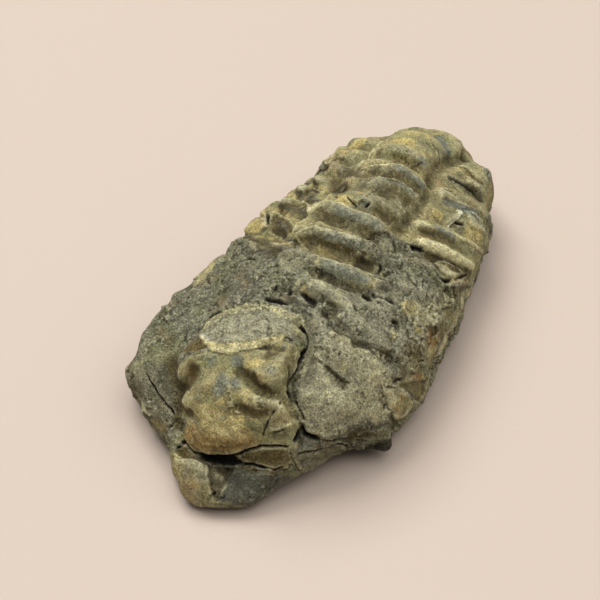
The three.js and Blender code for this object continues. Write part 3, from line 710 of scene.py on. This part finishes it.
lumps((135, 352, 2.5, -1.0), (163, 447, 1.8, -0.7), (186, 503, 3.0, 0.1), (127, 372, 2.2, 0.7),
      (137, 399, 1.8, -0.6), (146, 410, 1.6, 0.6), (160, 431, 2.0, -0.4))
groove([(178, 378), (181, 392), (181, 405), (184, 415)], 0.9, 0.4, brown=0.6)
groove([(131, 379), (135, 375)], 0.4, 0.3, brown=0.6)
plate([(180, 470), (204, 468), (240, 466), (296, 474), (296, 482), (246, 512), (190, 512)], 1.0, 0,
      shade=0.6)
lump(190, 468, 4.0, 0.55, ochre=0.25)
stain([(182, 462), (190, 466), (200, 468)], 2.0, brown=0.75, gap=0.2)
stain([(184, 466), (196, 464), (206, 470)], 1.6, brown=0.6, gap=0.15)
stain([(226, 478), (236, 484)], 1.6, gap=0.3)
lumps((183, 496, 3.5, 0.9), (174, 478, 2.5, 0.4))
stain([(173, 460), (182, 456), (191, 459)], 1.4, ochre=0.8, pale=0.1)
stain([(182, 476), (190, 484), (200, 494)], 2.0, orange=0.6, ochre=0.3)
stain([(172, 456), (176, 466), (184, 472), (192, 470)], 1.6, ochre=0.6, shade=0.6)
stain([(196, 468), (203, 478), (207, 488)], 1.2, shade=0.8, blue=0.4)
plate([(176, 459), (192, 457), (205, 468), (204, 484), (192, 478), (180, 472)], 1.2, 0, brown=0.3,
      shade=0.9)
stain([(198, 497), (208, 500), (218, 500)], 1.2, brown=0.5)
# The recess between the knob and the grey-green face, and the strip under the glabella's front, are painted
# dark as shade.
plate([(206, 462), (220, 466), (235, 468), (226, 484), (216, 501), (212, 492), (209, 478)], 0.6, -0.15,
      rough=0.4, level=0.7, brown=0.6, shade=0.9, gap=0.25)
stain([(194, 459), (201, 465), (208, 476)], 1.4, shade=1.0, brown=0.5, gap=0.35)
stain([(226, 472), (232, 480), (235, 490)], 1.5, shade=1.0, gap=0.6)
stain([(242, 462), (252, 466), (264, 469)], 1.0, brown=0.9)
# Under the slab's ledge the stone is painted dark as shade.
stain([(294, 434), (300, 440), (308, 443)], 0.9, gap=0.6)
stain([(336, 450), (346, 454), (356, 453)], 1.2, gap=0.45, shade=1.0)
# The grey-green face, turned from the light, is painted dark as its shade.
plate([(236, 468), (262, 474), (298, 476), (284, 488), (250, 507), (218, 502), (226, 484)], 0.6, 0.1,
      rough=0.35, level=0.7, blue=0.45, shade=1.0, gap=0.42)
stain([(300, 479), (284, 486), (266, 495), (250, 504)], 0.3, tan=0.7, pale=0.2)
stain([(202, 461), (216, 468), (232, 471), (250, 471)], 1.5, shade=0.9, gap=0.4)
crack([(213, 492), (215, 495)], 0.4, 0.4)
crack([(215, 502), (223, 497), (232, 492)], 0.12, 0.2, gap=0.5)
for x, y in ((263, 488), (262, 497), (252, 499), (258, 476)):
    lump(x, y, 0.35, 0, white=0.7)


# The right wall is broken across ribs and beds. Two smooth olive facets show at its front,
# and patches of ochre, orange and dark brown lie along it.
wall = within([(468, 290), (480, 300), (452, 350), (428, 398), (408, 432), (392, 440), (384, 424),
               (380, 400), (388, 376), (396, 350), (410, 326), (426, 306), (446, 292)], 1.6)
relief += wall * facets(3.4, 0.32, 51.3)
wall_mix = flecks(3.8, 4, 7.7)
paint(slice(None), wall * ease(wall_mix, 0.1, 0.6), {"ochre": 0.45})
paint(slice(None), wall * ease(wall_mix, -0.05, -0.4), {"brown": 0.5, "shade": 0.5})
paint(slice(None), wall * ease(flecks(2.6, 3, 19.1), 0.2, 0.6), {"tan": 0.6})
lumps((466, 300, 2.8, -0.8), (461, 318, 2.8, -0.3), (453, 334, 2.8, -0.6), (446, 350, 2.8, -0.5),
      (440, 366, 2.8, -1.0), (433, 382, 2.8, -0.7), (422, 396, 2.8, 0.4), (402, 430, 2.8, -1.6))
plate([(384, 388), (395, 389), (405, 394), (413, 402), (406, 414), (396, 420), (388, 408)], 0.4, 0.5,
      rough=0.0, level=1.0, ochre=0.35, brown=0.25)
plate([(397, 385), (410, 382), (425, 380), (426, 391), (418, 402), (408, 393)], 0.4, -0.2, rough=0.0,
      level=1.0, ochre=0.2, brown=0.55)
stain([(426, 302), (431, 312), (427, 322)], 1.1, tan=1.0, pale=0.6)
stain([(444, 300), (448, 308), (444, 318)], 1.2, brown=0.7)
stain([(400, 342), (412, 346), (424, 350)], 0.8, brown=0.8, shade=0.7)
stain([(404, 350), (412, 351), (420, 357), (415, 365)], 1.7, brown=0.85)
stain([(394, 366), (402, 371), (410, 373)], 1.4, brown=0.6, shade=0.6)
stain([(431, 323), (437, 318), (441, 326)], 1.0, tan=0.8, pale=0.45)
stain([(387, 329), (395, 333), (401, 338)], 0.9, tan=0.8, pale=0.4)


# The matrix between the rings and the right wall is paler and browner than on the left. Tan dust,
# a few ochre spots and brown dents lie on it.
plate([(305, 300), (330, 296), (396, 288), (444, 288), (436, 330), (404, 358), (392, 404), (370, 414),
       (330, 404), (306, 350)], 3.0, 0, tan=0.7)
for line, width, pale in (
        ([(404, 316), (416, 310), (428, 312)], 1.8, 0.5), ([(322, 298), (334, 305), (332, 314)], 1.3, 0.4),
        ([(404, 312), (416, 318), (428, 314), (440, 300)], 1.6, 0.5),
        ([(480, 272), (474, 286), (464, 303), (457, 320), (447, 340), (441, 362), (431, 382), (424, 396)],
         1.2, 0.6),
        ([(410, 408), (400, 420), (390, 428)], 1.2, 0.5)):
    stain(line, width, tan=1.0, pale=pale)
stain([(398, 306), (410, 308), (420, 310)], 1.3, ochre=0.9, pale=0.4)
stain([(428, 318), (437, 322)], 1.2, tan=0.8, pale=0.4)
stain([(388, 322), (396, 325), (403, 326)], 0.7, gap=0.5, brown=0.6)
stain([(360, 296), (368, 300), (372, 298)], 0.7, brown=0.9)
stain([(318, 306), (330, 314), (341, 323), (352, 332)], 0.6, gap=0.4, brown=0.6)
stain([(424, 330), (436, 334), (444, 328)], 1.2, brown=0.6, orange=0.6)
stain([(338, 294), (346, 299), (358, 303)], 1.0, shade=1.0, gap=0.35)
ledge([(352, 332), (341, 324), (330, 316), (318, 307)], -0.35, 0.3, 2.0)


# The slab of coarse matrix on the right cheek ends in a ledge over a gap painted black as its shade.
# Two long steps cross it, pale dust lies on it, and a grey-olive plate juts out below its front.
plate([(310, 345), (330, 340), (352, 348), (380, 360), (392, 372), (385, 395), (375, 415), (350, 428),
       (322, 436), (302, 424), (296, 405), (300, 372)], 1.5, 0.15, rough=0.62, tan=1.0, pale=0.35)
ledge([(298, 426), (305, 432), (315, 439), (322, 438), (331, 438), (340, 432), (350, 428)], 0.5, 0.3, 2.0)
cracks(([(302, 424), (303, 431), (308, 436), (314, 439), (322, 439)], 0.4, 1.2),
       ([(301, 428), (298, 436), (293, 443)], 0.4, 0.8, 0.9),
       ([(300, 430), (306, 435), (314, 437), (322, 437)], 0.7, 0.9),
       ([(322, 439), (330, 440), (338, 439), (347, 437)], 0.18, 0.5, 0.8))
for line, width, pale in (
        ([(338, 364), (349, 371)], 1.2, 0.7), ([(372, 349), (384, 355), (394, 359)], 1.1, 0.6),
        ([(354, 390), (364, 397), (378, 396)], 1.5, 0.6), ([(352, 338), (362, 342)], 1.1, 0.6),
        ([(366, 366), (380, 380), (386, 396), (378, 410), (366, 422)], 2.4, 0.5),
        ([(326, 328), (342, 338), (358, 348), (374, 358)], 1.6, 0.45)):
    stain(line, width, tan=1.0, pale=pale)
# The stone beside the crack at the slab's left is painted dark as shade.
stain([(309, 356), (312, 368), (307, 380), (299, 388)], 1.3, shade=1.0, gap=0.5)
stain([(297, 442), (308, 444), (318, 441)], 1.2, blue=0.9)
stain([(388, 388), (392, 396), (391, 404)], 1.2, white=0.25)
stain([(360, 396), (352, 402)], 1.6, brown=0.5)
stain([(360, 340), (346, 366)], 1.2, brown=0.35)
stain([(384, 250), (394, 256), (400, 268)], 2.0, tan=0.8, pale=0.2)
stain([(322, 318), (332, 312), (342, 306)], 1.2, tan=0.7)
plate([(292, 449), (312, 446), (334, 440), (346, 440), (350, 448), (332, 463), (305, 477), (297, 467)], 0.6,
      0.1, shade=0.62, blue=0.3)
crack([(290, 449), (292, 458), (297, 467), (303, 475)], 0.12, 0.2, gap=0.5)
stain([(293, 451), (297, 462), (304, 471)], 0.35, pale=0.3)
stain([(300, 462), (312, 464), (322, 458)], 1.2, tan=0.4)
crack([(296, 454), (310, 451), (319, 449), (328, 446), (336, 442), (343, 443), (349, 447)], 0.16, 0.4,
      gap=0.85)
stain([(342, 442), (352, 437), (364, 434), (372, 438)], 1.6, brown=0.8, shade=0.8)
ledge([(354, 385), (347, 381), (339, 378), (331, 369), (321, 361), (311, 353)], -0.45, 0.25, 2.6)
stain([(316, 358), (331, 370), (340, 378), (347, 381)], 0.4, gap=0.55, brown=0.5)
ledge([(404, 359), (395, 357), (383, 350), (370, 345), (357, 339), (348, 332), (339, 325), (330, 317)],
      -0.6, 0.3, 3.0)
stain([(342, 326), (357, 338), (370, 344), (383, 349), (395, 356)], 0.4, gap=0.4, brown=0.6)


# Pits, short cracks and small broken planes are scattered over the matrix, with spots of ochre,
# orange and white on its right side.
cracks(([(302, 303), (311, 305), (320, 308)], 0.6, 0.6, 0.7), ([(288, 292), (292, 294)], 0.6, 0.6, 0.8),
       ([(260, 297), (270, 299), (282, 301), (292, 304)], 0.65, 0.7, 0.85),
       ([(208, 315), (213, 315)], 0.5, 0.6, 0.85), ([(187, 299), (190, 298)], 0.4, 0.5))
stain([(284, 296), (294, 300), (302, 306)], 0.7, shade=0.9, gap=0.3)
stain([(292, 282), (300, 287)], 1.1, tan=1.0, pale=0.5)
lump(172, 293, 2.2, 1.4, tan=0.4)
lump(189, 288, 1.6, -0.8)
plate([(188, 290), (196, 277), (207, 265), (216, 260), (215, 270), (201, 284)], 0.6, 0.1, rough=0.3,
      ochre=0.45, tan=0.5)
lumps((221, 262, 1.5, -0.5), (231, 251, 1.8, 0.6))
lump(252, 252, 1.5, 0.6, tan=0.3)
lumps((140, 333, 2.0, 0.5), (154, 314, 1.6, -0.5))
cracks(([(274, 286), (277, 288)], 0.6, 0.5, 0.8), ([(247, 258), (254, 260), (259, 258)], 0.4, 0.5, 0.6),
       ([(384, 297), (390, 301), (397, 303)], 0.45, 0.6, 0.7),
       ([(388, 321), (395, 322), (402, 323)], 0.4, 0.5, 0.7),
       ([(351, 304), (355, 308), (358, 312)], 0.2, 0.3, 0.7))
stain([(327, 313), (334, 316), (341, 313)], 0.35, pale=0.5)
stain([(396, 315), (402, 317)], 0.6, white=0.7)
lump(386, 330, 0.35, 0.1, white=0.9)
stain([(376, 330), (387, 337), (395, 347)], 1.0, brown=0.4, blue=0.3)
stain([(390, 334), (397, 339)], 0.9, ochre=0.7)
stain([(404, 310), (413, 308), (420, 309)], 1.3, ochre=0.8, tan=0.5)
stain([(400, 296), (412, 290), (428, 288), (436, 294)], 2.4, tan=0.55)
stain([(424, 334), (433, 339), (440, 335)], 1.6, orange=1.0)
stain([(419, 327), (417, 335)], 0.9, ochre=0.8)
stain([(430, 345), (438, 342)], 1.1, ochre=0.6)
stain([(407, 376), (416, 377), (424, 378)], 0.7, orange=1.0)
stain([(395, 355), (404, 360), (410, 366)], 1.3, brown=0.7)
lump(396, 372, 1.6, 0.4, blue=0.7)
crack([(392, 384), (397, 380), (405, 379)], 0.35, 0.4, gap=0.7)
ledge([(413, 401), (404, 394), (395, 388), (385, 384)], -0.3, 0.15, 1.6)
stain([(383, 384), (392, 385), (402, 390), (411, 399)], 0.45, tan=0.9, pale=0.3)
stain([(396, 394), (404, 401)], 1.2, orange=0.5)
stain([(412, 388), (420, 385)], 1.5, ochre=0.4)
stain([(385, 410), (390, 413), (396, 417)], 0.3, pale=0.6)
stain([(389, 402), (396, 411), (401, 421)], 0.35, orange=0.7)
stain([(388, 390), (393, 400)], 1.0, brown=0.7)
ridge([(452, 297), (449, 310), (440, 322)], 0.9, 0.3)
groove([(444, 292), (452, 287), (455, 295)], 0.5, 0.4, brown=0.6)
# Below the front right ledge the stone is painted almost black, as the shade under that edge.
lump(385, 443, 2.2, 1.0)
plate([(330, 464), (356, 452), (372, 443), (384, 437), (396, 437), (399, 447), (388, 456), (356, 460),
       (335, 468)], 0.7, 0, rough=0.5, shade=1.0, gap=0.7)


# The front right edge of the stone is undercut: it stands a little clear of the floor, which is dark
# under it. The stone's lowest points are pushed back there, away from the camera.
UNDERCUT, UNDERCUT_REACH = 4.5, 14
where, away, fade, _ = measure([(272, 493), (284, 486), (297, 479), (312, 472), (332, 464), (352, 458),
                                (372, 454), (388, 450)], UNDERCUT_REACH, 5)
push = -UNDERCUT * (1 - ease(spots[where, 2], 1.6, 3.6)) * (1 - ease(away, 3, UNDERCUT_REACH)) * fade
spots[where, 0] += push * view_back.x / math.cos(VIEW_ELEVATION)
spots[where, 1] += push * view_back.y / math.cos(VIEW_ELEVATION)


# Grit, pits, broken planes and broad swells roughen the matrix. The skin of the animal has only faint
# unevenness. The rest face stays flat but for shallow hollows.
GRIT_HEIGHT, GRAIN_HEIGHT, SKIN_HEIGHT, SWELL_HEIGHT = 0.08, 0.045, 0.09, 0.38
PIT_START, PIT_DEPTH = 0.45, 0.6
CHIPS_ON_SKIN, SWELLS_ON_SKIN = 0.22, 0.4
FACES_DOWN = -0.75
REST_DEPTH, REST_HOLLOW = 0.12, 0.25
ROOM = 0.02
HOLLOW_ROUNDS, VALLEY_ROUNDS = 6, 50
HOLLOW_DEPTH, VALLEY_DEPTH = 0.13, 0.5

is_under = outward[:, 2] < FACES_DOWN
rough = flecks(2.2, 3, 5.3) * GRIT_HEIGHT + flecks(0.6, 2, 9.1) * GRAIN_HEIGHT
pits = np.maximum(0, flecks(3.0, 2, 23.7) - PIT_START) * PIT_DEPTH
chips = facets(5.0, 0.2, 3.7) + facets(2.0, 0.05, 13.1)
swells = flecks(7.0, 3, 41.3) * SWELL_HEIGHT
unevenness = flecks(1.5, 4, 61.9) * SKIN_HEIGHT + CHIPS_ON_SKIN * chips
relief += grit * (rough - pits + chips) + (1 - grit) * unevenness
relief += swells * (SWELLS_ON_SKIN + (1 - SWELLS_ON_SKIN) * grit)
relief[is_under] = -REST_DEPTH - REST_HOLLOW * np.abs(flecks(4.0, 3, 71.7)[is_under])
carved = spots + outward * relief[:, None]
carved = np.clip(carved, np.array(cad_low) / MM + ROOM, np.array(cad_high) / MM - ROOM)

fine = averaged(carved, HOLLOW_ROUNDS)
broad = averaged(fine, VALLEY_ROUNDS)
hollow = np.clip(((fine - carved) * outward).sum(1) / HOLLOW_DEPTH, -1, 1)
valley = np.clip(((broad - fine) * outward).sum(1) / VALLEY_DEPTH, -1, 1)

skin.vertices.foreach_set("co", (carved * MM).astype(np.float32).ravel())
skin.update()
for name, values in {**tints, "grit": grit, "hollow": hollow, "valley": valley}.items():
    layer = skin.attributes.new(name, "FLOAT", "POINT")
    layer.data.foreach_set("value", values.astype(np.float32))
thin = stone.modifiers.new("thin", "DECIMATE")
thin.ratio = MOST_TRIANGLES / (2 * len(skin.polygons))
bpy.ops.object.modifier_apply(modifier=thin.name)
bpy.ops.object.shade_smooth()


# The stone's finish: grey-olive gritty matrix, olive and ochre skin, and over both the marks kept in
# the mesh. Patterns are in mm, in Object coordinates, and break up the edges of every mark.
finish = bpy.data.materials.new("siltstone_and_fossil")
finish.use_nodes = True
tree = finish.node_tree
shader = tree.nodes["Principled BSDF"]
place = tree.nodes.new("ShaderNodeTexCoord")
in_mm = tree.nodes.new("ShaderNodeVectorMath")
in_mm.operation = "SCALE"
in_mm.inputs["Scale"].default_value = 1 / MM
tree.links.new(place.outputs["Object"], in_mm.inputs[0])


def blotches(size, detail, roughness=0.6):
    """Noise from 0 to 1 in blotches about size mm wide."""
    node = tree.nodes.new("ShaderNodeTexNoise")
    node.inputs["Scale"].default_value = 1 / size
    node.inputs["Detail"].default_value = detail
    node.inputs["Roughness"].default_value = roughness
    tree.links.new(in_mm.outputs[0], node.inputs["Vector"])
    return node.outputs["Fac"]


def grains(size):
    """Random grey of the grain, about size mm wide, at each place."""
    node = tree.nodes.new("ShaderNodeTexVoronoi")
    node.inputs["Scale"].default_value = 1 / size
    tree.links.new(in_mm.outputs[0], node.inputs["Vector"])
    split = tree.nodes.new("ShaderNodeSeparateColor")
    tree.links.new(node.outputs["Color"], split.inputs[0])
    return split.outputs[0]


def layer_of(name):
    """The strength of a mark, kept in an attribute of the mesh."""
    node = tree.nodes.new("ShaderNodeAttribute")
    node.attribute_name = name
    return node.outputs["Fac"]


def connect(value, socket):
    """Links an output to a socket, or sets a plain value on it."""
    if isinstance(value, bpy.types.NodeSocket):
        tree.links.new(value, socket)
    else:
        socket.default_value = value


def maths(operation, first, second):
    """One sum of two outputs or values."""
    node = tree.nodes.new("ShaderNodeMath")
    node.operation = operation
    connect(first, node.inputs[0])
    connect(second, node.inputs[1])
    return node.outputs[0]


def weighed(first, share, second, other_share):
    """Two outputs added up, each times its share."""
    return maths("ADD", maths("MULTIPLY", first, share), maths("MULTIPLY", second, other_share))


def spread(value, start, end, low=0.0, high=1.0):
    """Maps start..end to low..high, held at both ends."""
    node = tree.nodes.new("ShaderNodeMapRange")
    connect(value, node.inputs["Value"])
    node.inputs["From Min"].default_value = start
    node.inputs["From Max"].default_value = end
    node.inputs["To Min"].default_value = low
    node.inputs["To Max"].default_value = high
    return node.outputs[0]


def mix(share, first, second, blend="MIX"):
    """The first colour with a share of the second over it."""
    node = tree.nodes.new("ShaderNodeMix")
    node.data_type = "RGBA"
    node.blend_type = blend
    connect(share, node.inputs["Factor"])
    connect(first, node.inputs[6])
    connect(second, node.inputs[7])
    return node.outputs[2]


def shades(value, stops):
    """Colours along a ramp, from (place, colour) stops."""
    node = tree.nodes.new("ShaderNodeValToRGB")
    connect(value, node.inputs[0])
    ramp = node.color_ramp
    while len(ramp.elements) < len(stops):
        ramp.elements.new(1)
    for element, (where, colour) in zip(ramp.elements, stops):
        element.position = where
        element.color = (*colour, 1)
    return node.outputs[0]


fine_noise = blotches(0.9, 4)
mid_noise = blotches(3.5, 5)
wide_noise = blotches(11, 4)
grain_value = grains(0.36)
grit_edge = maths("MULTIPLY", maths("SUBTRACT", fine_noise, 0.5), 0.6)
grit_share = spread(maths("ADD", layer_of("grit"), grit_edge), 0.3, 0.75)

MATRIX_SHADES = [
    (0.30, (0.080, 0.077, 0.047)), (0.45, (0.155, 0.150, 0.094)),
    (0.56, (0.225, 0.218, 0.135)), (0.70, (0.34, 0.325, 0.20)),
]
PALE_GRAIN, DARK_GRAIN = (0.42, 0.41, 0.31, 1), (0.05, 0.047, 0.034, 1)
matrix_colour = shades(weighed(mid_noise, 0.6, fine_noise, 0.4), MATRIX_SHADES)
matrix_colour = mix(maths("MULTIPLY", spread(grain_value, 0.84, 0.94), 0.55), matrix_colour, PALE_GRAIN)
matrix_colour = mix(maths("MULTIPLY", spread(grain_value, 0.2, 0.08), 0.6), matrix_colour, DARK_GRAIN)

SKIN_SHADES = [
    (0.32, (0.125, 0.117, 0.064)), (0.44, (0.20, 0.183, 0.088)),
    (0.54, (0.27, 0.235, 0.106)), (0.68, (0.37, 0.305, 0.122)),
]
OLIVE_TINGE, RUST_TINGE = (0.165, 0.172, 0.072, 1), (0.235, 0.165, 0.075, 1)
skin_colour = shades(weighed(mid_noise, 0.6, wide_noise, 0.4), SKIN_SHADES)
colour = mix(grit_share, skin_colour, matrix_colour)
colour = mix(spread(blotches(5.0, 4), 0.50, 0.62, 0, 0.45), colour, OLIVE_TINGE)
colour = mix(spread(blotches(4.1, 4), 0.54, 0.66, 0, 0.5), colour, RUST_TINGE)

ragged = weighed(fine_noise, 0.6, mid_noise, 0.4)
# Of these marks, shade is painted shade on faces turned from the light and also darker olive stone; the
# brown one is brown dirt and also painted shade in furrows; the pale one is pale dust and rims and also
# painted highlights.
MARKS = [  # colour of each mark, and how much of it covers the stone at most
    ("shade", (0.095, 0.088, 0.055), 0.9),
    ("tan", (0.335, 0.32, 0.21), 0.8),
    ("ochre", (0.40, 0.32, 0.115), 0.9),
    ("blue", (0.132, 0.147, 0.112), 0.85),
    ("orange", (0.23, 0.135, 0.04), 0.9),
    ("brown", (0.078, 0.058, 0.018), 0.9),
    ("pale", (0.56, 0.51, 0.27), 0.92),
    ("white", (0.74, 0.72, 0.52), 1.0),
]
for name, mark_colour, strength in MARKS:
    share = maths("ADD", layer_of(name), maths("MULTIPLY", maths("SUBTRACT", ragged, 0.5), 1.4))
    share = spread(share, 0.18, 0.85, 0, strength)
    share = maths("MULTIPLY", share, spread(layer_of(name), 0.02, 0.15))
    colour = mix(share, colour, (*mark_colour, 1))

RELIEF_TONES = [  # dirt and painted shade in hollows and valleys, worn edges and crests lightened also as a painted highlight, and gaps painted black as shade
    ("hollow", 0.0, 0.8, 0.74, (0.045, 0.038, 0.022)),
    ("hollow", -0.1, -0.9, 0.38, (0.48, 0.45, 0.30)),
    ("valley", 0.1, 0.9, 0.55, (0.08, 0.062, 0.022)),
    ("valley", -0.15, -0.9, 0.2, (0.46, 0.42, 0.25)),
    ("gap", 0.15, 0.8, 0.97, (0.006, 0.005, 0.004)),
]
for name, start, end, most, tone in RELIEF_TONES:
    colour = mix(spread(layer_of(name), start, end, 0, most), colour, (*tone, 1))

sparkle = blotches(0.32, 5, 0.85)
mottle = spread(blotches(1.3, 4, 0.7), 0.44, 0.56, 0.84, 1.2)
colour = mix(1.0, colour, mottle, "MULTIPLY")
strong = mix(1.0, colour, spread(sparkle, 0.35, 0.65, 0.12, 2.2), "MULTIPLY")
calm = mix(1.0, colour, spread(sparkle, 0.34, 0.66, 0.32, 1.92), "MULTIPLY")
colour = mix(grit_share, calm, strong)
tree.links.new(colour, shader.inputs["Base Color"])

SKIN_ROUGHNESS, MATRIX_ROUGHNESS, STONE_GLOSS = 0.62, 0.9, 0.18
BUMP_HEIGHT = 0.5 * MM
SKIN_BUMP = 0.35
tree.links.new(spread(grit_share, 0, 1, SKIN_ROUGHNESS, MATRIX_ROUGHNESS), shader.inputs["Roughness"])
shader.inputs["Specular IOR Level"].default_value = STONE_GLOSS

bump_height = weighed(blotches(0.3, 4, 0.75), 1.5, fine_noise, 0.3)
bump_height = maths("MULTIPLY", bump_height, spread(grit_share, 0, 1, SKIN_BUMP, 1.0))
bump = tree.nodes.new("ShaderNodeBump")
bump.inputs["Strength"].default_value = 1.0
bump.inputs["Distance"].default_value = BUMP_HEIGHT
tree.links.new(bump_height, bump.inputs["Height"])
tree.links.new(bump.outputs["Normal"], shader.inputs["Normal"])

skin.materials.clear()
skin.materials.append(finish)
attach(stone, "root")
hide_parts("trilobite_fossil")


# The floor is a plain pale sheet. The strongest light comes through a window at the upper left of the
# view. A weaker one on the right and a wide one overhead keep the shadows soft.
FLOOR_SIZE = 6.0
FLOOR_COLOUR = (0.475, 0.388, 0.322, 1)
ROOM_COLOUR, ROOM_LIGHT = (1.0, 0.97, 0.94, 1), 0.22
bpy.ops.mesh.primitive_plane_add(size=FLOOR_SIZE, location=(0, 0, 0))
floor = bpy.context.object
floor.name = "floor"
floor_finish = bpy.data.materials.new("pale_floor")
floor_finish.use_nodes = True
floor_shader = floor_finish.node_tree.nodes["Principled BSDF"]
floor_shader.inputs["Base Color"].default_value = FLOOR_COLOUR
floor_shader.inputs["Roughness"].default_value = 0.7
floor.data.materials.append(floor_finish)


def soft_light(name, turn, elevation, distance, size, power):
    """A square light that faces the stone, turned round it from the camera by an angle in degrees."""
    a, e = math.radians(VIEW_TURN + turn), math.radians(elevation)
    back = Vector((math.sin(a) * math.cos(e), -math.cos(a) * math.cos(e), math.sin(e)))
    data = bpy.data.lights.new(name, "AREA")
    data.size = size
    data.energy = power
    light = bpy.data.objects.new(name, data)
    light.location = back * distance
    light.rotation_euler = back.to_track_quat("Z", "Y").to_euler()
    bpy.context.scene.collection.objects.link(light)


soft_light("window", -145, 58, 2.6, 1.7, 66)
soft_light("room", 92, 50, 2.6, 2.4, 25)
soft_light("ceiling", 0, 86, 2.4, 2.6, 34)
world = bpy.data.worlds.new("pale_room")
world.use_nodes = True
world.node_tree.nodes["Background"].inputs["Color"].default_value = ROOM_COLOUR
world.node_tree.nodes["Background"].inputs["Strength"].default_value = ROOM_LIGHT
bpy.context.scene.world = world
bpy.context.scene.view_settings.view_transform = "Standard"
